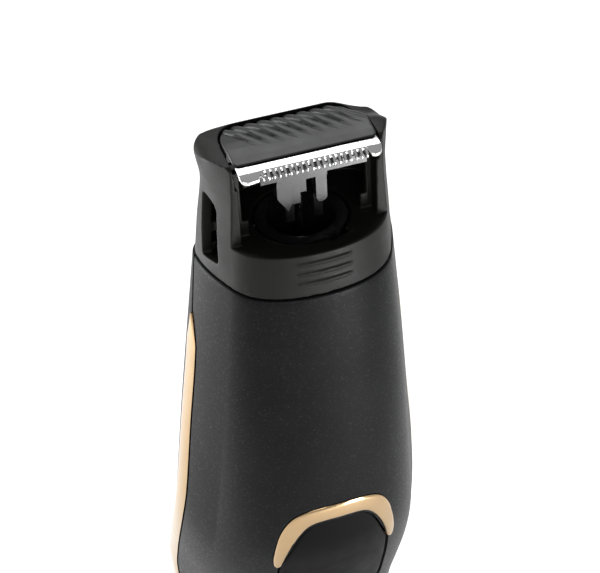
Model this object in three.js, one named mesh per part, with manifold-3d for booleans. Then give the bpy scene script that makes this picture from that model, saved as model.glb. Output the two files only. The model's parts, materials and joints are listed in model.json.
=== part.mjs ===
// Beard trimmer: a curved handle with a pull-off trimming head.
// Millimetres, +Z up. The drive shaft of the handle is the upright line X = 0, Y = 0 of the inner
// frame; the front, with the blade and the switch, faces -Y. The whole part is moved at the end so
// that its origin is the middle of the flat base.
import * as THREE from "three";
import { mergeVertices } from "three/addons/utils/BufferGeometryUtils.js";
import Module from "manifold-3d";

const wasm = await Module();
wasm.setup();

// ---- Driving dimensions ----
const GAP = 0.3; // clearance between pieces that touch
const SEAM_Z = 138; // top of the handle, where the head sits
const DECK_Z = 147; // upper face of the head's collar
const DECK_THICKNESS = 2;
const WINDOW_TOP = 159.6; // underside of the head's top frame
const WINDOW_HALF = 11.9; // half width of the head's front opening
const BORE_R = 8.5; // round hole in the deck
const SPIGOT_R = 7.9; // neck that plugs into that hole
const SPIGOT_BORE_R = 6;
const SEAL_R = 9.2;
const NOTCH_ANGLE = -62; // degrees from +X to the notch of the deck hole
const SHELL_WALL = 2.2;
const HEAD_WALL = 1.8;
const TRIM_DEPTH = 1.3; // how deep the coloured trims are let into the shells
const BASE_Y = 24; // middle of the base behind the drive shaft
const CAP_TOP = 6; // parting line between the bottom cap and the shells
const MOTOR_R = 7.7;
const MOTOR_BOTTOM = 98;
const MOTOR_TOP = 123.6;
const SHAFT_R = 1;
const SHAFT_BOTTOM = 110; // floor of the shaft's hole inside the motor
const PIN_R = 0.6;
const PIN_OFFSET = 0.5; // eccentricity: half of the blade's stroke
const FORK_HALF_GAP = 1.75; // pin radius, eccentricity, blade travel and clearance
const SLOPE_ANGLE = 0.389; // lean of the lower handle, radians
const SLOPE_ORIGIN = new THREE.Vector3(0, -2.9, 52); // point of the leaning front face

// Handle sections from the base up. Y values: front, crease between front and side, widest line,
// parting line of the shells, back. X values: crease and half width.
const HANDLE_SECTIONS = [
  { z: 0, front: 5, creaseX: 14, creaseY: 13, halfWidth: 18.6, wide: 29, parting: 28.6, back: 42 },
  { z: 20, front: 5.8, creaseX: 17.6, creaseY: 16, halfWidth: 23.2, wide: 33, parting: 32, back: 44 },
  { z: 37, front: 3, creaseX: 20.2, creaseY: 15, halfWidth: 24.6, wide: 32, parting: 31, back: 42.4 },
  { z: 47, front: -0.8, creaseX: 21.2, creaseY: 12, halfWidth: 24.8, wide: 27.6, parting: 26.6, back: 38 },
  { z: 57, front: -5, creaseX: 21.4, creaseY: 7.8, halfWidth: 24.9, wide: 22, parting: 21.2, back: 32.4 },
  { z: 67, front: -9, creaseX: 20.8, creaseY: 4, halfWidth: 24.7, wide: 17.4, parting: 16.4, back: 27.8 },
  { z: 77, front: -11.7, creaseX: 19.9, creaseY: 1.8, halfWidth: 24, wide: 15.2, parting: 13.4, back: 24.8 },
  { z: 97, front: -12.6, creaseX: 18.2, creaseY: -1.2, halfWidth: 22, wide: 13, parting: 10.8, back: 21.2 },
  { z: 117, front: -12.4, creaseX: 16.4, creaseY: -3.6, halfWidth: 20, wide: 10, parting: 7.9, back: 17.6 },
  {
    z: SEAM_Z,
    front: -11.9,
    creaseX: 14.4,
    creaseY: -5.2,
    halfWidth: 17.8,
    wide: 6.8,
    parting: 6.8,
    back: 14.4,
  },
];
const HEAD_SECTIONS = [
  { z: 138, front: -11.7, creaseX: 14.2, creaseY: -5.1, halfWidth: 17.5, wide: 6.4, back: 14 },
  { z: 147, front: -11.6, creaseX: 13.8, creaseY: -4.95, halfWidth: 16.8, wide: 4.8, back: 12.4 },
  { z: 156, front: -11.2, creaseX: 13.2, creaseY: -5.3, halfWidth: 15.9, wide: 3.4, back: 10.6 },
  { z: 164, front: -10.6, creaseX: 12.7, creaseY: -5.6, halfWidth: 15.8, wide: 3.4, back: 9.3 },
];

// ---- Finishes ----
const finish = (color, roughness, metalness) =>
  new THREE.MeshStandardMaterial({ color, roughness, metalness });
const MATTE_BLACK = finish(0x2e2f31, 0.6, 0.1);
const HEAD_BLACK = finish(0x3a3a39, 0.7, 0);
const PAD_GREY = finish(0x4b4d50, 0.55, 0);
const INNER_BLACK = finish(0x1d1d1f, 0.7, 0);
const GOLD = finish(0xc3a274, 0.3, 0.9);
const STEEL = finish(0xd5d7da, 0.25, 1);
const DARK_STEEL = finish(0x6e7074, 0.4, 0.9);
const RUBBER = finish(0x151515, 0.9, 0);
const BOARD_GREEN = finish(0x1f5a35, 0.6, 0);
const NICKEL = finish(0xb9bbb8, 0.35, 0.9);
const COPPER_RED = finish(0xa33327, 0.5, 0);
const CELL_WRAP = finish(0x2f5f8f, 0.5, 0);
const LENS = finish(0xe9efe6, 0.2, 0);

// ---- Solids ----
function solid(geometry) {
  const plain = geometry.clone();
  plain.deleteAttribute("normal");
  plain.deleteAttribute("uv");
  const merged = mergeVertices(plain, 1e-4);
  return new wasm.Manifold(
    new wasm.Mesh({
      numProp: 3,
      vertProperties: new Float32Array(merged.attributes.position.array),
      triVerts: new Uint32Array(merged.index.array),
    }),
  );
}

function geometryOf(body) {
  const mesh = body.getMesh();
  const geometry = new THREE.BufferGeometry();
  geometry.setAttribute("position", new THREE.BufferAttribute(mesh.vertProperties, 3));
  geometry.setIndex(new THREE.BufferAttribute(mesh.triVerts, 1));
  geometry.computeVertexNormals();
  return geometry;
}

const union = (...bodies) => bodies.reduce((all, next) => all.add(next));
const cut = (body, ...tools) => tools.reduce((left, tool) => left.subtract(tool), body);

function box([x0, x1], [y0, y1], [z0, z1]) {
  const block = new THREE.BoxGeometry(x1 - x0, y1 - y0, z1 - z0);
  block.translate((x0 + x1) / 2, (y0 + y1) / 2, (z0 + z1) / 2);
  return solid(block);
}

// An upright cylinder.
function rod(radius, z0, z1, x = 0, y = 0, sides = 16) {
  const cylinder = new THREE.CylinderGeometry(radius, radius, z1 - z0, sides);
  cylinder.rotateX(Math.PI / 2);
  cylinder.translate(x, y, (z0 + z1) / 2);
  return solid(cylinder);
}

// A cylinder lying along Y.
function rodY(radius, y0, y1, x, z, sides = 12) {
  const cylinder = new THREE.CylinderGeometry(radius, radius, y1 - y0, sides);
  cylinder.translate(x, (y0 + y1) / 2, z);
  return solid(cylinder);
}

// A turned piece about the Z axis: a closed profile of [radius, z], counter-clockwise.
function turned(profile, sides = 20) {
  const points = profile.map(([radius, z]) => new THREE.Vector2(radius, z));
  const lathe = new THREE.LatheGeometry([...points, points[0]], sides);
  lathe.rotateX(Math.PI / 2);
  return solid(lathe.toNonIndexed());
}

const X = new THREE.Vector3(1, 0, 0);
const Y = new THREE.Vector3(0, 1, 0);
const Z = new THREE.Vector3(0, 0, 1);

function prism(shape, depth, steps = 1) {
  return new THREE.ExtrudeGeometry(shape, { depth, steps, bevelEnabled: false, curveSegments: 10 });
}

// A plan outline of (x, y) carried upwards.
function prismZ(shape, z0, z1) {
  return solid(prism(shape, z1 - z0).translate(0, 0, z0));
}

// A front view outline of (x, z) carried through Y.
function prismY(shape, y0, y1) {
  const geometry = prism(shape, y1 - y0);
  geometry.applyMatrix4(new THREE.Matrix4().makeBasis(X, Z, Y.clone().negate()));
  return solid(geometry.translate(0, y1, 0));
}

// A side view outline of (y, z) carried through X.
function prismX(shape, x0, x1) {
  const geometry = prism(shape, x1 - x0);
  geometry.applyMatrix4(new THREE.Matrix4().makeBasis(Y, Z, X));
  return solid(geometry.translate(x0, 0, 0));
}

const outline = (points) => new THREE.Shape(points.map(([a, b]) => new THREE.Vector2(a, b)));

// ---- Lofted bodies ----
// Reads a list of sections as smooth functions of height.
function sectionReader(sections) {
  const keys = Object.keys(sections[0]).filter((key) => key !== "z");
  const heights = sections.map((section) => section.z);
  const values = sections.flatMap((section) => keys.map((key) => section[key]));
  const spline = new THREE.CubicInterpolant(heights, values, keys.length);
  const lowest = heights[0];
  const highest = heights[heights.length - 1];
  return (z) => {
    const row = spline.evaluate(THREE.MathUtils.clamp(z, lowest, highest));
    return Object.fromEntries(keys.map((key, index) => [key, row[index]]));
  };
}

const handleAt = sectionReader(HANDLE_SECTIONS);
const headAt = sectionReader(HEAD_SECTIONS);

// The closed outline of one section: a broad front arc, a soft crease, a slanting side and a
// rounded back, moved inwards by inset.
function sectionOutline(section, inset) {
  const { front, creaseX, creaseY, halfWidth, wide, back } = section;
  const at = (x, y) => new THREE.Vector2(x, y);
  const frontArc = new THREE.CubicBezierCurve(
    at(0, front),
    at(0.55 * creaseX, front),
    at(0.86 * creaseX, front + 0.38 * (creaseY - front)),
    at(creaseX, creaseY),
  );
  const side = new THREE.QuadraticBezierCurve(
    at(creaseX, creaseY),
    at(halfWidth, creaseY + 0.62 * (wide - creaseY)),
    at(halfWidth, wide),
  );
  const rear = new THREE.CubicBezierCurve(
    at(halfWidth, wide),
    at(halfWidth, wide + 0.66 * (back - wide)),
    at(0.66 * halfWidth, back),
    at(0, back),
  );
  const half = [
    ...frontArc.getPoints(5).slice(0, -1),
    ...side.getPoints(3).slice(0, -1),
    ...rear.getPoints(4),
  ];
  const mirrored = half.slice(1, -1).reverse().map((point) => at(-point.x, point.y));
  const ring = [...half, ...mirrored];
  return ring.map((point, index) => {
    const before = ring[(index + ring.length - 1) % ring.length];
    const after = ring[(index + 1) % ring.length];
    const along = after.clone().sub(before).normalize();
    return at(point.x - along.y * inset, point.y + along.x * inset);
  });
}

// A body between two heights: a many-sided prism whose every level is moved onto its own section.
function loft(sectionAt, bottom, top, levels, insetAt) {
  const count = sectionOutline(sectionAt(bottom), 0).length;
  const wheel = Array.from({ length: count }, (_, index) => {
    const angle = (2 * Math.PI * index) / count;
    return [Math.cos(angle), Math.sin(angle)];
  });
  const geometry = prism(outline(wheel), 1, levels);
  const position = geometry.getAttribute("position");
  const rings = Array.from({ length: levels + 1 }, (_, level) => {
    const z = bottom + ((top - bottom) * level) / levels;
    return { z, points: sectionOutline(sectionAt(z), insetAt(z)) };
  });
  for (let i = 0; i < position.count; i++) {
    const angle = Math.atan2(position.getY(i), position.getX(i));
    const index = (Math.round((angle / (2 * Math.PI)) * count) + count) % count;
    const ring = rings[Math.round(position.getZ(i) * levels)];
    position.setXYZ(i, ring.points[index].x, ring.points[index].y, ring.z);
  }
  return solid(geometry);
}

const handleLoft = (bottom, top, levels, inset) =>
  loft(handleAt, bottom, top, levels, () => inset);
const headLoft = (bottom, top, levels, inset) => loft(headAt, bottom, top, levels, () => inset);

// The outer layer of the handle between two heights, as thick as depth.
function handleSkin(bottom, top, levels, depth, proud = 0) {
  return cut(
    handleLoft(bottom, top, levels, -proud),
    handleLoft(bottom - 1, top + 1, levels + 2, depth),
  );
}

// ---- Scene graph ----
const trimmer = new THREE.Group();
const frame = new THREE.Group(); // the drive shaft's frame
frame.position.y = -BASE_Y;
trimmer.add(frame);
const slope = new THREE.Group(); // the leaning lower handle: X across, Y inwards, Z up the front
slope.position.copy(SLOPE_ORIGIN);
slope.rotation.x = SLOPE_ANGLE;
frame.add(slope);

function place(parent, name, body, material) {
  const mesh = new THREE.Mesh(geometryOf(body), material.clone());
  mesh.name = name;
  parent.add(mesh);
  return mesh;
}

// Carries a solid drawn in the leaning frame into the upright one.
function onSlope(body) {
  slope.updateMatrix();
  return solid(geometryOf(body).applyMatrix4(slope.matrix));
}

// ---- Handle shells ----
const STRIP_TIP = 125; // upper point of the side trims
const STRIP_END = 14; // lower point of the side trims
const STRIP_NARROW = 1.9; // half width just below the upper point
const STRIP_BROAD = 2.9; // half width at the base
const REACH = 60; // longer than any piece is wide
const SCREW_X = 15;
const SCREW_HEIGHTS = [106, 24];

// Half width of the side trim: a slim leaf, pointed at both ends.
function stripHalf(z) {
  const rise = Math.min(1, Math.max(0, (STRIP_TIP - z) / 14));
  const fall = Math.min(1, Math.max(0, (z - STRIP_END) / 30));
  const half = THREE.MathUtils.mapLinear(z, 0, STRIP_TIP, STRIP_BROAD, STRIP_NARROW);
  return half * Math.sqrt(rise) * Math.sqrt(fall);
}

function heights(from, to, count) {
  return Array.from({ length: count + 1 }, (_, index) => from + ((to - from) * index) / count);
}

// The side view outline of everything in front of the parting line.
function frontOfParting(offset) {
  const line = heights(-5, SEAM_Z + 5, 22).map((z) => [handleAt(z).parting + offset, z]);
  return outline([[-REACH, -5], ...line, [-REACH, SEAM_Z + 5]]);
}

function stripOutline(margin) {
  const stations = heights(STRIP_END - margin, STRIP_TIP + margin, 20);
  const edge = (side) =>
    stations.map((z) => [handleAt(z).parting + side * (stripHalf(z) + margin), z]);
  return outline([...edge(1), ...edge(-1).reverse()]);
}

// The arch trim on the front and its opening, as front views: half width at the shoulder, top,
// height of the rounded shoulder and outward slope of the legs.
const ARCH_OUTER = { shoulder: 11.3, top: 87.9, corner: 7.4, slope: 0.118 };
const ARCH_INNER = { shoulder: 8.1, top: 84.3, corner: 4.6, slope: 0.245 };
const ARCH_MIDDLE = 0.4;
const ARCH_FOOT = 70.3;

function archOutline({ shoulder, top, corner, slope }, grow, foot) {
  const side = shoulder + grow;
  const crown = top + grow;
  const legTop = top - corner;
  const bottom = side + slope * (legTop - foot);
  const flat = side - 0.85 * corner;
  const shape = new THREE.Shape();
  shape.moveTo(ARCH_MIDDLE - bottom, foot);
  shape.lineTo(ARCH_MIDDLE + bottom, foot);
  shape.lineTo(ARCH_MIDDLE + side, legTop);
  shape.quadraticCurveTo(ARCH_MIDDLE + side - 0.6, crown - 0.3, ARCH_MIDDLE + flat, crown);
  shape.lineTo(ARCH_MIDDLE - flat, crown);
  shape.quadraticCurveTo(ARCH_MIDDLE - side + 0.6, crown - 0.3, ARCH_MIDDLE - side, legTop);
  return shape;
}

// The switch panel: a rounded tongue below the arch and a tab that fills the arch's opening.
const PANEL_FOOT = 30;
const PANEL_HALF = 11.3;

function tongueOutline(grow) {
  const half = PANEL_HALF + grow;
  const foot = PANEL_FOOT - grow;
  const top = ARCH_FOOT - GAP + grow;
  const shape = new THREE.Shape();
  shape.moveTo(ARCH_MIDDLE, foot);
  shape.quadraticCurveTo(ARCH_MIDDLE + 0.75 * half, foot, ARCH_MIDDLE + 0.9 * half, foot + 9);
  shape.quadraticCurveTo(ARCH_MIDDLE + 1.06 * half, foot + 20, ARCH_MIDDLE + half, top);
  shape.lineTo(ARCH_MIDDLE - half, top);
  shape.quadraticCurveTo(ARCH_MIDDLE - 1.06 * half, foot + 20, ARCH_MIDDLE - 0.9 * half, foot + 9);
  shape.quadraticCurveTo(ARCH_MIDDLE - 0.75 * half, foot, ARCH_MIDDLE, foot);
  return shape;
}

function panelPrism(grow) {
  const tab = archOutline(ARCH_INNER, grow - GAP, ARCH_FOOT - 2);
  return union(prismY(tongueOutline(grow), -REACH, 14), prismY(tab, -REACH, 14));
}

const shellBody = cut(
  handleLoft(CAP_TOP + GAP, SEAM_Z, 14, 0),
  handleLoft(CAP_TOP - 1, SEAM_Z + 1, 8, SHELL_WALL),
);
const trimGroove = handleSkin(STRIP_END - 6, STRIP_TIP + 6, 16, TRIM_DEPTH + GAP, 2);
const stripCut = (x0, x1, margin) => prismX(stripOutline(margin), x0, x1);
const stripGroove = trimGroove.intersect(stripCut(-REACH, REACH, GAP));

// The arch's band, grown by margin on every side.
function archBand(margin) {
  return cut(
    prismY(archOutline(ARCH_OUTER, margin, ARCH_FOOT - margin), -REACH, 0),
    prismY(archOutline(ARCH_INNER, -margin, ARCH_FOOT - 5), -REACH - 1, 1),
  );
}

const archRange = [ARCH_FOOT - 5, ARCH_OUTER.top + 5];
const archGroove = handleSkin(...archRange, 5, TRIM_DEPTH + GAP, 2).intersect(archBand(GAP));
const panelRange = [PANEL_FOOT - 5, ARCH_INNER.top + 2];
const panelGroove = handleSkin(...panelRange, 10, TRIM_DEPTH + GAP, 2).intersect(panelPrism(GAP));

const STEM_HALF = 1.2; // half width of the switch slider's stem
const STEM_LOW = -4.3; // lower end of the stem when the switch is off
const LENS_R = 1.2;
const LENS_PLACE = -14;
const slotHalf = STEM_HALF + GAP + 0.1;
const slotReach = Math.abs(STEM_LOW) + 0.5;
const sliderSlot = onSlope(box([-slotHalf, slotHalf], [-3, 6], [-slotReach, slotReach]));
const lensRod = (radius, length) => solid(new THREE.CylinderGeometry(radius, radius, length, 14));
const lensHole = onSlope(lensRod(LENS_R + GAP, 12).translate([0, 0, LENS_PLACE]));

const SCREW_HEAD_R = 1.8;
const SCREW_SHANK_R = 0.9;
const BOSS_R = 2.6;

const screwPlaces = SCREW_HEIGHTS.flatMap((z) => [[-SCREW_X, z], [SCREW_X, z]]);
const insideHandle = handleLoft(CAP_TOP - 1, SEAM_Z + 1, 8, SHELL_WALL - 0.6);
const bosses = union(...screwPlaces.map(([x, z]) => rodY(BOSS_R, -REACH, REACH, x, z))).intersect(
  insideHandle,
);

// Where a shell screw's head rests, below the back surface, and where its point ends.
function screwSeat(z) {
  const { back, wide, halfWidth } = handleAt(z);
  const drop = (back - wide) * (SCREW_X / halfWidth) ** 3;
  return back - 0.55 * drop - 4.2;
}

const screwTip = (z) => handleAt(z).parting - 6;

function frontShell() {
  const region = prismX(frontOfParting(-GAP / 2), -REACH, REACH);
  return cut(
    union(shellBody, bosses).intersect(region),
    stripGroove,
    archGroove,
    panelGroove,
    sliderSlot,
    lensHole,
    ...screwPlaces.map(([x, z]) => rodY(SCREW_SHANK_R + GAP, screwTip(z) - GAP, REACH, x, z)),
  );
}

function backShell() {
  const region = prismX(frontOfParting(GAP / 2), -REACH - 1, REACH + 1);
  return cut(
    union(shellBody, bosses),
    region,
    stripGroove,
    ...screwPlaces.map(([x, z]) => rodY(SCREW_SHANK_R + GAP, screwTip(z), REACH, x, z)),
    ...screwPlaces.map(([x, z]) => rodY(SCREW_HEAD_R + GAP, screwSeat(z), REACH, x, z)),
  );
}

place(frame, "front_shell", frontShell(), MATTE_BLACK);
place(frame, "back_shell", backShell(), MATTE_BLACK);

const stripSkin = handleSkin(STRIP_END - 6, STRIP_TIP + 6, 16, TRIM_DEPTH, 0.15);
place(frame, "side_trim_left", stripSkin.intersect(stripCut(-REACH, 0, 0)), GOLD);
place(frame, "side_trim_right", stripSkin.intersect(stripCut(0, REACH, 0)), GOLD);

const archSkin = handleSkin(...archRange, 5, TRIM_DEPTH, 0.5);
place(frame, "arch_trim", archSkin.intersect(archBand(0)), GOLD);

const panelSkin = handleSkin(...panelRange, 10, TRIM_DEPTH, -0.15);
const switchPanel = cut(panelSkin.intersect(panelPrism(0)), sliderSlot, lensHole);
place(frame, "switch_panel", switchPanel, INNER_BLACK);

function shellScrew(x, z) {
  const seat = screwSeat(z);
  const head = rodY(SCREW_HEAD_R, seat + GAP, seat + 1.8, x, z);
  const shank = rodY(SCREW_SHANK_R, screwTip(z) + GAP, seat + 0.5, x, z, 10);
  const slotX = box([x - 2, x + 2], [seat + 1.2, seat + 2], [z - 0.25, z + 0.25]);
  const slotZ = box([x - 0.25, x + 0.25], [seat + 1.2, seat + 2], [z - 2, z + 2]);
  return cut(union(head, shank), slotX, slotZ);
}

screwPlaces.forEach(([x, z], index) => {
  place(frame, `shell_screw_${index + 1}`, shellScrew(x, z), DARK_STEEL);
});

// ---- Bottom cap and charging socket ----
const SOCKET_Y = 35;
const SOCKET_R = 3.6;
const SOCKET_MOUTH_R = 1.75;
const SOCKET_LIP = 0.6; // how far the socket's mouth is let into the base
const SOCKET_TOP = 11;
const SOCKET_PIN_R = 0.6;

function bottomCap() {
  const roundedInset = (z) => 1.4 * (1 - Math.sqrt(1 - (1 - Math.min(1, z / 2)) ** 2));
  const shell = loft(handleAt, 0, CAP_TOP, 6, roundedInset);
  const plug = handleLoft(CAP_TOP - 0.5, CAP_TOP + 3, 1, SHELL_WALL + 2 * GAP);
  const hollow = handleLoft(2.6, CAP_TOP + 4, 1, SHELL_WALL + 2);
  const well = rod(SOCKET_R + GAP + 1.4, 0.5, CAP_TOP + 2, 0, SOCKET_Y);
  return cut(
    union(cut(union(shell, plug), hollow), well.intersect(union(shell, plug))),
    rod(SOCKET_R + GAP, -1, CAP_TOP + 5, 0, SOCKET_Y),
  );
}

place(frame, "bottom_cap", bottomCap(), HEAD_BLACK);
const socket = turned([
  [SOCKET_MOUTH_R, SOCKET_LIP],
  [SOCKET_R, SOCKET_LIP],
  [SOCKET_R, SOCKET_TOP],
  [SOCKET_PIN_R + GAP, SOCKET_TOP],
  [SOCKET_PIN_R + GAP, SOCKET_TOP - 2],
  [SOCKET_MOUTH_R, SOCKET_TOP - 2],
]);
place(frame, "charge_socket", socket.translate([0, SOCKET_Y, 0]), INNER_BLACK);
const socketPin = rod(SOCKET_PIN_R, SOCKET_LIP + 1, SOCKET_TOP + 1.5, 0, SOCKET_Y, 12);
place(frame, "socket_pin", socketPin, NICKEL);

// ---- Neck ----
function neckSpigot() {
  const flange = handleLoft(SEAM_Z - 3.3, SEAM_Z - 0.5, 1, SHELL_WALL + GAP);
  const top = DECK_Z - 0.3;
  const ring = turned(
    [
      [SPIGOT_BORE_R, SEAM_Z - 1],
      [SPIGOT_R, SEAM_Z - 1],
      [SPIGOT_R, top - 0.7],
      [SPIGOT_R - 0.6, top],
      [SPIGOT_BORE_R + 0.3, top],
      [SPIGOT_BORE_R, top - 0.3],
    ],
    36,
  );
  const keyway = box([-1.2, 1.2], [SPIGOT_BORE_R + 0.6, SPIGOT_R + 1], [top - 3, top + 1]);
  return cut(
    union(cut(flange, rod(SPIGOT_BORE_R, SEAM_Z - 5, SEAM_Z + 1, 0, 0, 36)), ring),
    keyway.rotate([0, 0, NOTCH_ANGLE + 90]),
  );
}

place(frame, "neck_spigot", neckSpigot(), INNER_BLACK);
const seal = turned([
  [SPIGOT_R + GAP, SEAM_Z - 0.2],
  [SEAL_R, SEAM_Z - 0.2],
  [SEAL_R, SEAM_Z + 0.9],
  [SPIGOT_R + GAP, SEAM_Z + 0.9],
]);
place(frame, "neck_seal", seal, RUBBER);

// ---- Chassis and motor ----
function chassis() {
  const plate = handleLoft(MOTOR_TOP + 2.2, MOTOR_TOP + 4.6, 1, SHELL_WALL + GAP);
  const rail = (x0, x1) => box([x0, x1], [-3, 5], [MOTOR_BOTTOM - 8, MOTOR_TOP + 3]);
  return cut(union(plate, rail(8.6, 10.6), rail(-10.6, -8.6)), rod(3.6, 100, 140));
}

place(frame, "chassis", chassis(), INNER_BLACK);

function motorCan() {
  const profile = [
    [SHAFT_R + GAP, SHAFT_BOTTOM],
    [SHAFT_R + GAP, MOTOR_TOP + 1.6],
    [2.8, MOTOR_TOP + 1.6],
    [2.8, MOTOR_TOP],
    [MOTOR_R - 0.6, MOTOR_TOP],
    [MOTOR_R, MOTOR_TOP - 0.6],
    [MOTOR_R, MOTOR_BOTTOM],
    [0, MOTOR_BOTTOM],
    [0, SHAFT_BOTTOM],
  ];
  return turned(profile.reverse());
}

place(frame, "motor_can", motorCan(), NICKEL);
const END_CAP_BOTTOM = MOTOR_BOTTOM - 3.6;
const TERMINAL_X = 4;
place(frame, "motor_end_cap", rod(MOTOR_R - 0.8, END_CAP_BOTTOM, MOTOR_BOTTOM - GAP), INNER_BLACK);
for (const [name, side] of [["left", -1], ["right", 1]]) {
  const middle = TERMINAL_X * side;
  const length = [END_CAP_BOTTOM - 3.6, END_CAP_BOTTOM - GAP];
  const tab = box([middle - 1, middle + 1], [-0.25, 0.25], length);
  place(frame, `motor_terminal_${name}`, tab, NICKEL);
}

// ---- Drive: shaft, eccentric and pin ----
const CAM_BOTTOM = 130;
const CAM_TOP = 139;
const PIN_TOP = DECK_Z + 3;
place(frame, "motor_shaft", rod(SHAFT_R, SHAFT_BOTTOM + GAP, CAM_BOTTOM + 4, 0, 0, 14), STEEL);

function eccentricCam() {
  const profile = [
    [0, CAM_BOTTOM],
    [3, CAM_BOTTOM],
    [3, CAM_TOP - 2],
    [4, CAM_TOP - 2],
    [4, CAM_TOP],
    [0, CAM_TOP],
  ];
  return cut(
    turned(profile),
    rod(SHAFT_R + GAP, CAM_BOTTOM - 1, CAM_BOTTOM + 4 + GAP, 0, 0, 14),
    rod(PIN_R + GAP, CAM_TOP - 3, CAM_TOP + 1, 0, PIN_OFFSET, 14),
  );
}

place(frame, "eccentric_cam", eccentricCam(), HEAD_BLACK);
place(frame, "drive_pin", rod(PIN_R, CAM_TOP - 3 + GAP, PIN_TOP, 0, PIN_OFFSET, 14), STEEL);

// ---- Switch, board and battery, drawn in the leaning frame ----
function switchSlider() {
  const thumb = new THREE.Shape();
  thumb.moveTo(-4.4, -6);
  thumb.quadraticCurveTo(0, -8.4, 4.4, -6);
  thumb.lineTo(4.4, 1);
  thumb.quadraticCurveTo(0, 3.4, -4.4, 1);
  const ribs = [-4.5, -2.5, -0.5].map((z) => box([-3.2, 3.2], [-2.9, -2], [z - 0.4, z + 0.4]));
  const stem = box([-STEM_HALF, STEM_HALF], [-1, 5], [STEM_LOW, STEM_LOW + 3.6]);
  return union(prismY(thumb, -2.4, -0.7), stem, ...ribs);
}

place(slope, "switch_slider", switchSlider(), HEAD_BLACK);
place(slope, "switch_body", box([-4, 4], [5.4, 8], [-8, 6]), NICKEL);
place(slope, "circuit_board", box([-8.5, 8.5], [8.3, 9.5], [-22, 21]), BOARD_GREEN);
place(slope, "control_chip", box([-3, 3], [6.6, 8], [10, 15.5]), INNER_BLACK);
const capacitor = solid(new THREE.CylinderGeometry(1.8, 1.8, 2.6, 16));
place(slope, "capacitor", capacitor.translate([5.8, 6.7, -12]), NICKEL);
place(slope, "led_lens", lensRod(LENS_R, 2.6).translate([0, 1.2, LENS_PLACE]), LENS);
place(slope, "led", box([-0.9, 0.9], [6.6, 8], [LENS_PLACE - 1, LENS_PLACE + 1]), LENS);

const CELL_R = 7.1;
const CELL_BOTTOM = -37;
const CELL_TOP = 12;
const CELL_DEPTH = 18;

function batteryCell() {
  const profile = [
    [0, CELL_BOTTOM],
    [CELL_R - 0.5, CELL_BOTTOM],
    [CELL_R, CELL_BOTTOM + 0.5],
    [CELL_R, CELL_TOP - 0.5],
    [CELL_R - 0.5, CELL_TOP],
    [2.6, CELL_TOP],
    [2.6, CELL_TOP + 1.2],
    [0, CELL_TOP + 1.2],
  ];
  return turned(profile).translate([0, CELL_DEPTH, 0]);
}

place(slope, "battery_cell", batteryCell(), CELL_WRAP);
const tabY = [CELL_DEPTH - 7.5, CELL_DEPTH + 2.5];
const tabTop = CELL_TOP + 1.2 + GAP;
place(slope, "battery_tab_top", box([-2, 2], tabY, [tabTop, tabTop + 0.5]), NICKEL);
const tabBottom = CELL_BOTTOM - GAP;
place(slope, "battery_tab_bottom", box([-2, 2], tabY, [tabBottom - 0.5, tabBottom]), NICKEL);

// Supply wires from the motor's terminals down to the board.
function wire(side) {
  const route = new THREE.CatmullRomCurve3([
    new THREE.Vector3(4 * side, 2, 91.5),
    new THREE.Vector3(4.5 * side, 3.2, 86),
    new THREE.Vector3(6 * side, 1.6, 80),
    new THREE.Vector3(6 * side, -1.6, 76.8),
  ]);
  const section = new THREE.Shape().absarc(0, 0, 0.6, 0, 2 * Math.PI);
  const tube = new THREE.ExtrudeGeometry(section, { steps: 10, curveSegments: 4, extrudePath: route });
  return solid(tube);
}

place(frame, "wire_left", wire(-1), RUBBER);
place(frame, "wire_right", wire(1), COPPER_RED);

// ---- Head frame ----
const PAD_FLOOR = 161.3; // bottom of the recess for the guard pad
const CROWN = DECK_Z + 16.3; // top of the head's rim at the front
const SHOULDER = DECK_Z + 13.4; // where the sides start to round over
const SHOULDER_HALF = 12.6; // half width of the flat top between the rounded sides
const BLADE_BACK = -1.6; // rear edge of the blade pocket
const PAD_SCREWS = [["left", -7.5], ["right", 7.5]];
const PAD_SCREW_Y = 3.4;
const PAD_SCREW_R = 0.8;
const POCKET_HALF = 12.35;
const SLOT_FRONT = -1.5;
const SLOT_BACK = 3.2;
const SLOT_INNER_X = 14.2; // how far in the side slots are cut

// Side view of the head: collar, upright face of the posts and the domed top.
function headProfile() {
  const shape = new THREE.Shape();
  shape.moveTo(-REACH, SEAM_Z + GAP);
  shape.lineTo(REACH, SEAM_Z + GAP);
  shape.lineTo(REACH, DECK_Z + 10);
  shape.lineTo(9.6, DECK_Z + 11);
  shape.quadraticCurveTo(9.1, DECK_Z + 14.8, 6, DECK_Z + 15.6);
  shape.quadraticCurveTo(0.8, CROWN + 0.5, -4.6, CROWN);
  shape.lineTo(-5.6, DECK_Z + 15.6);
  shape.lineTo(-4.95, DECK_Z);
  shape.lineTo(-REACH, DECK_Z);
  return shape;
}

// Front view of the head: upright sides with rounded upper corners.
function headFront() {
  const shape = new THREE.Shape();
  const top = DECK_Z + 20;
  shape.moveTo(-REACH, SEAM_Z);
  shape.lineTo(REACH, SEAM_Z);
  shape.lineTo(REACH, SHOULDER);
  shape.lineTo(15.9, SHOULDER);
  shape.quadraticCurveTo(15.7, SHOULDER + 1.8, SHOULDER_HALF, CROWN);
  shape.lineTo(SHOULDER_HALF, top);
  shape.lineTo(-SHOULDER_HALF, top);
  shape.lineTo(-SHOULDER_HALF, CROWN);
  shape.quadraticCurveTo(-15.7, SHOULDER + 1.8, -15.9, SHOULDER);
  shape.lineTo(-REACH, SHOULDER);
  return shape;
}

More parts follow.
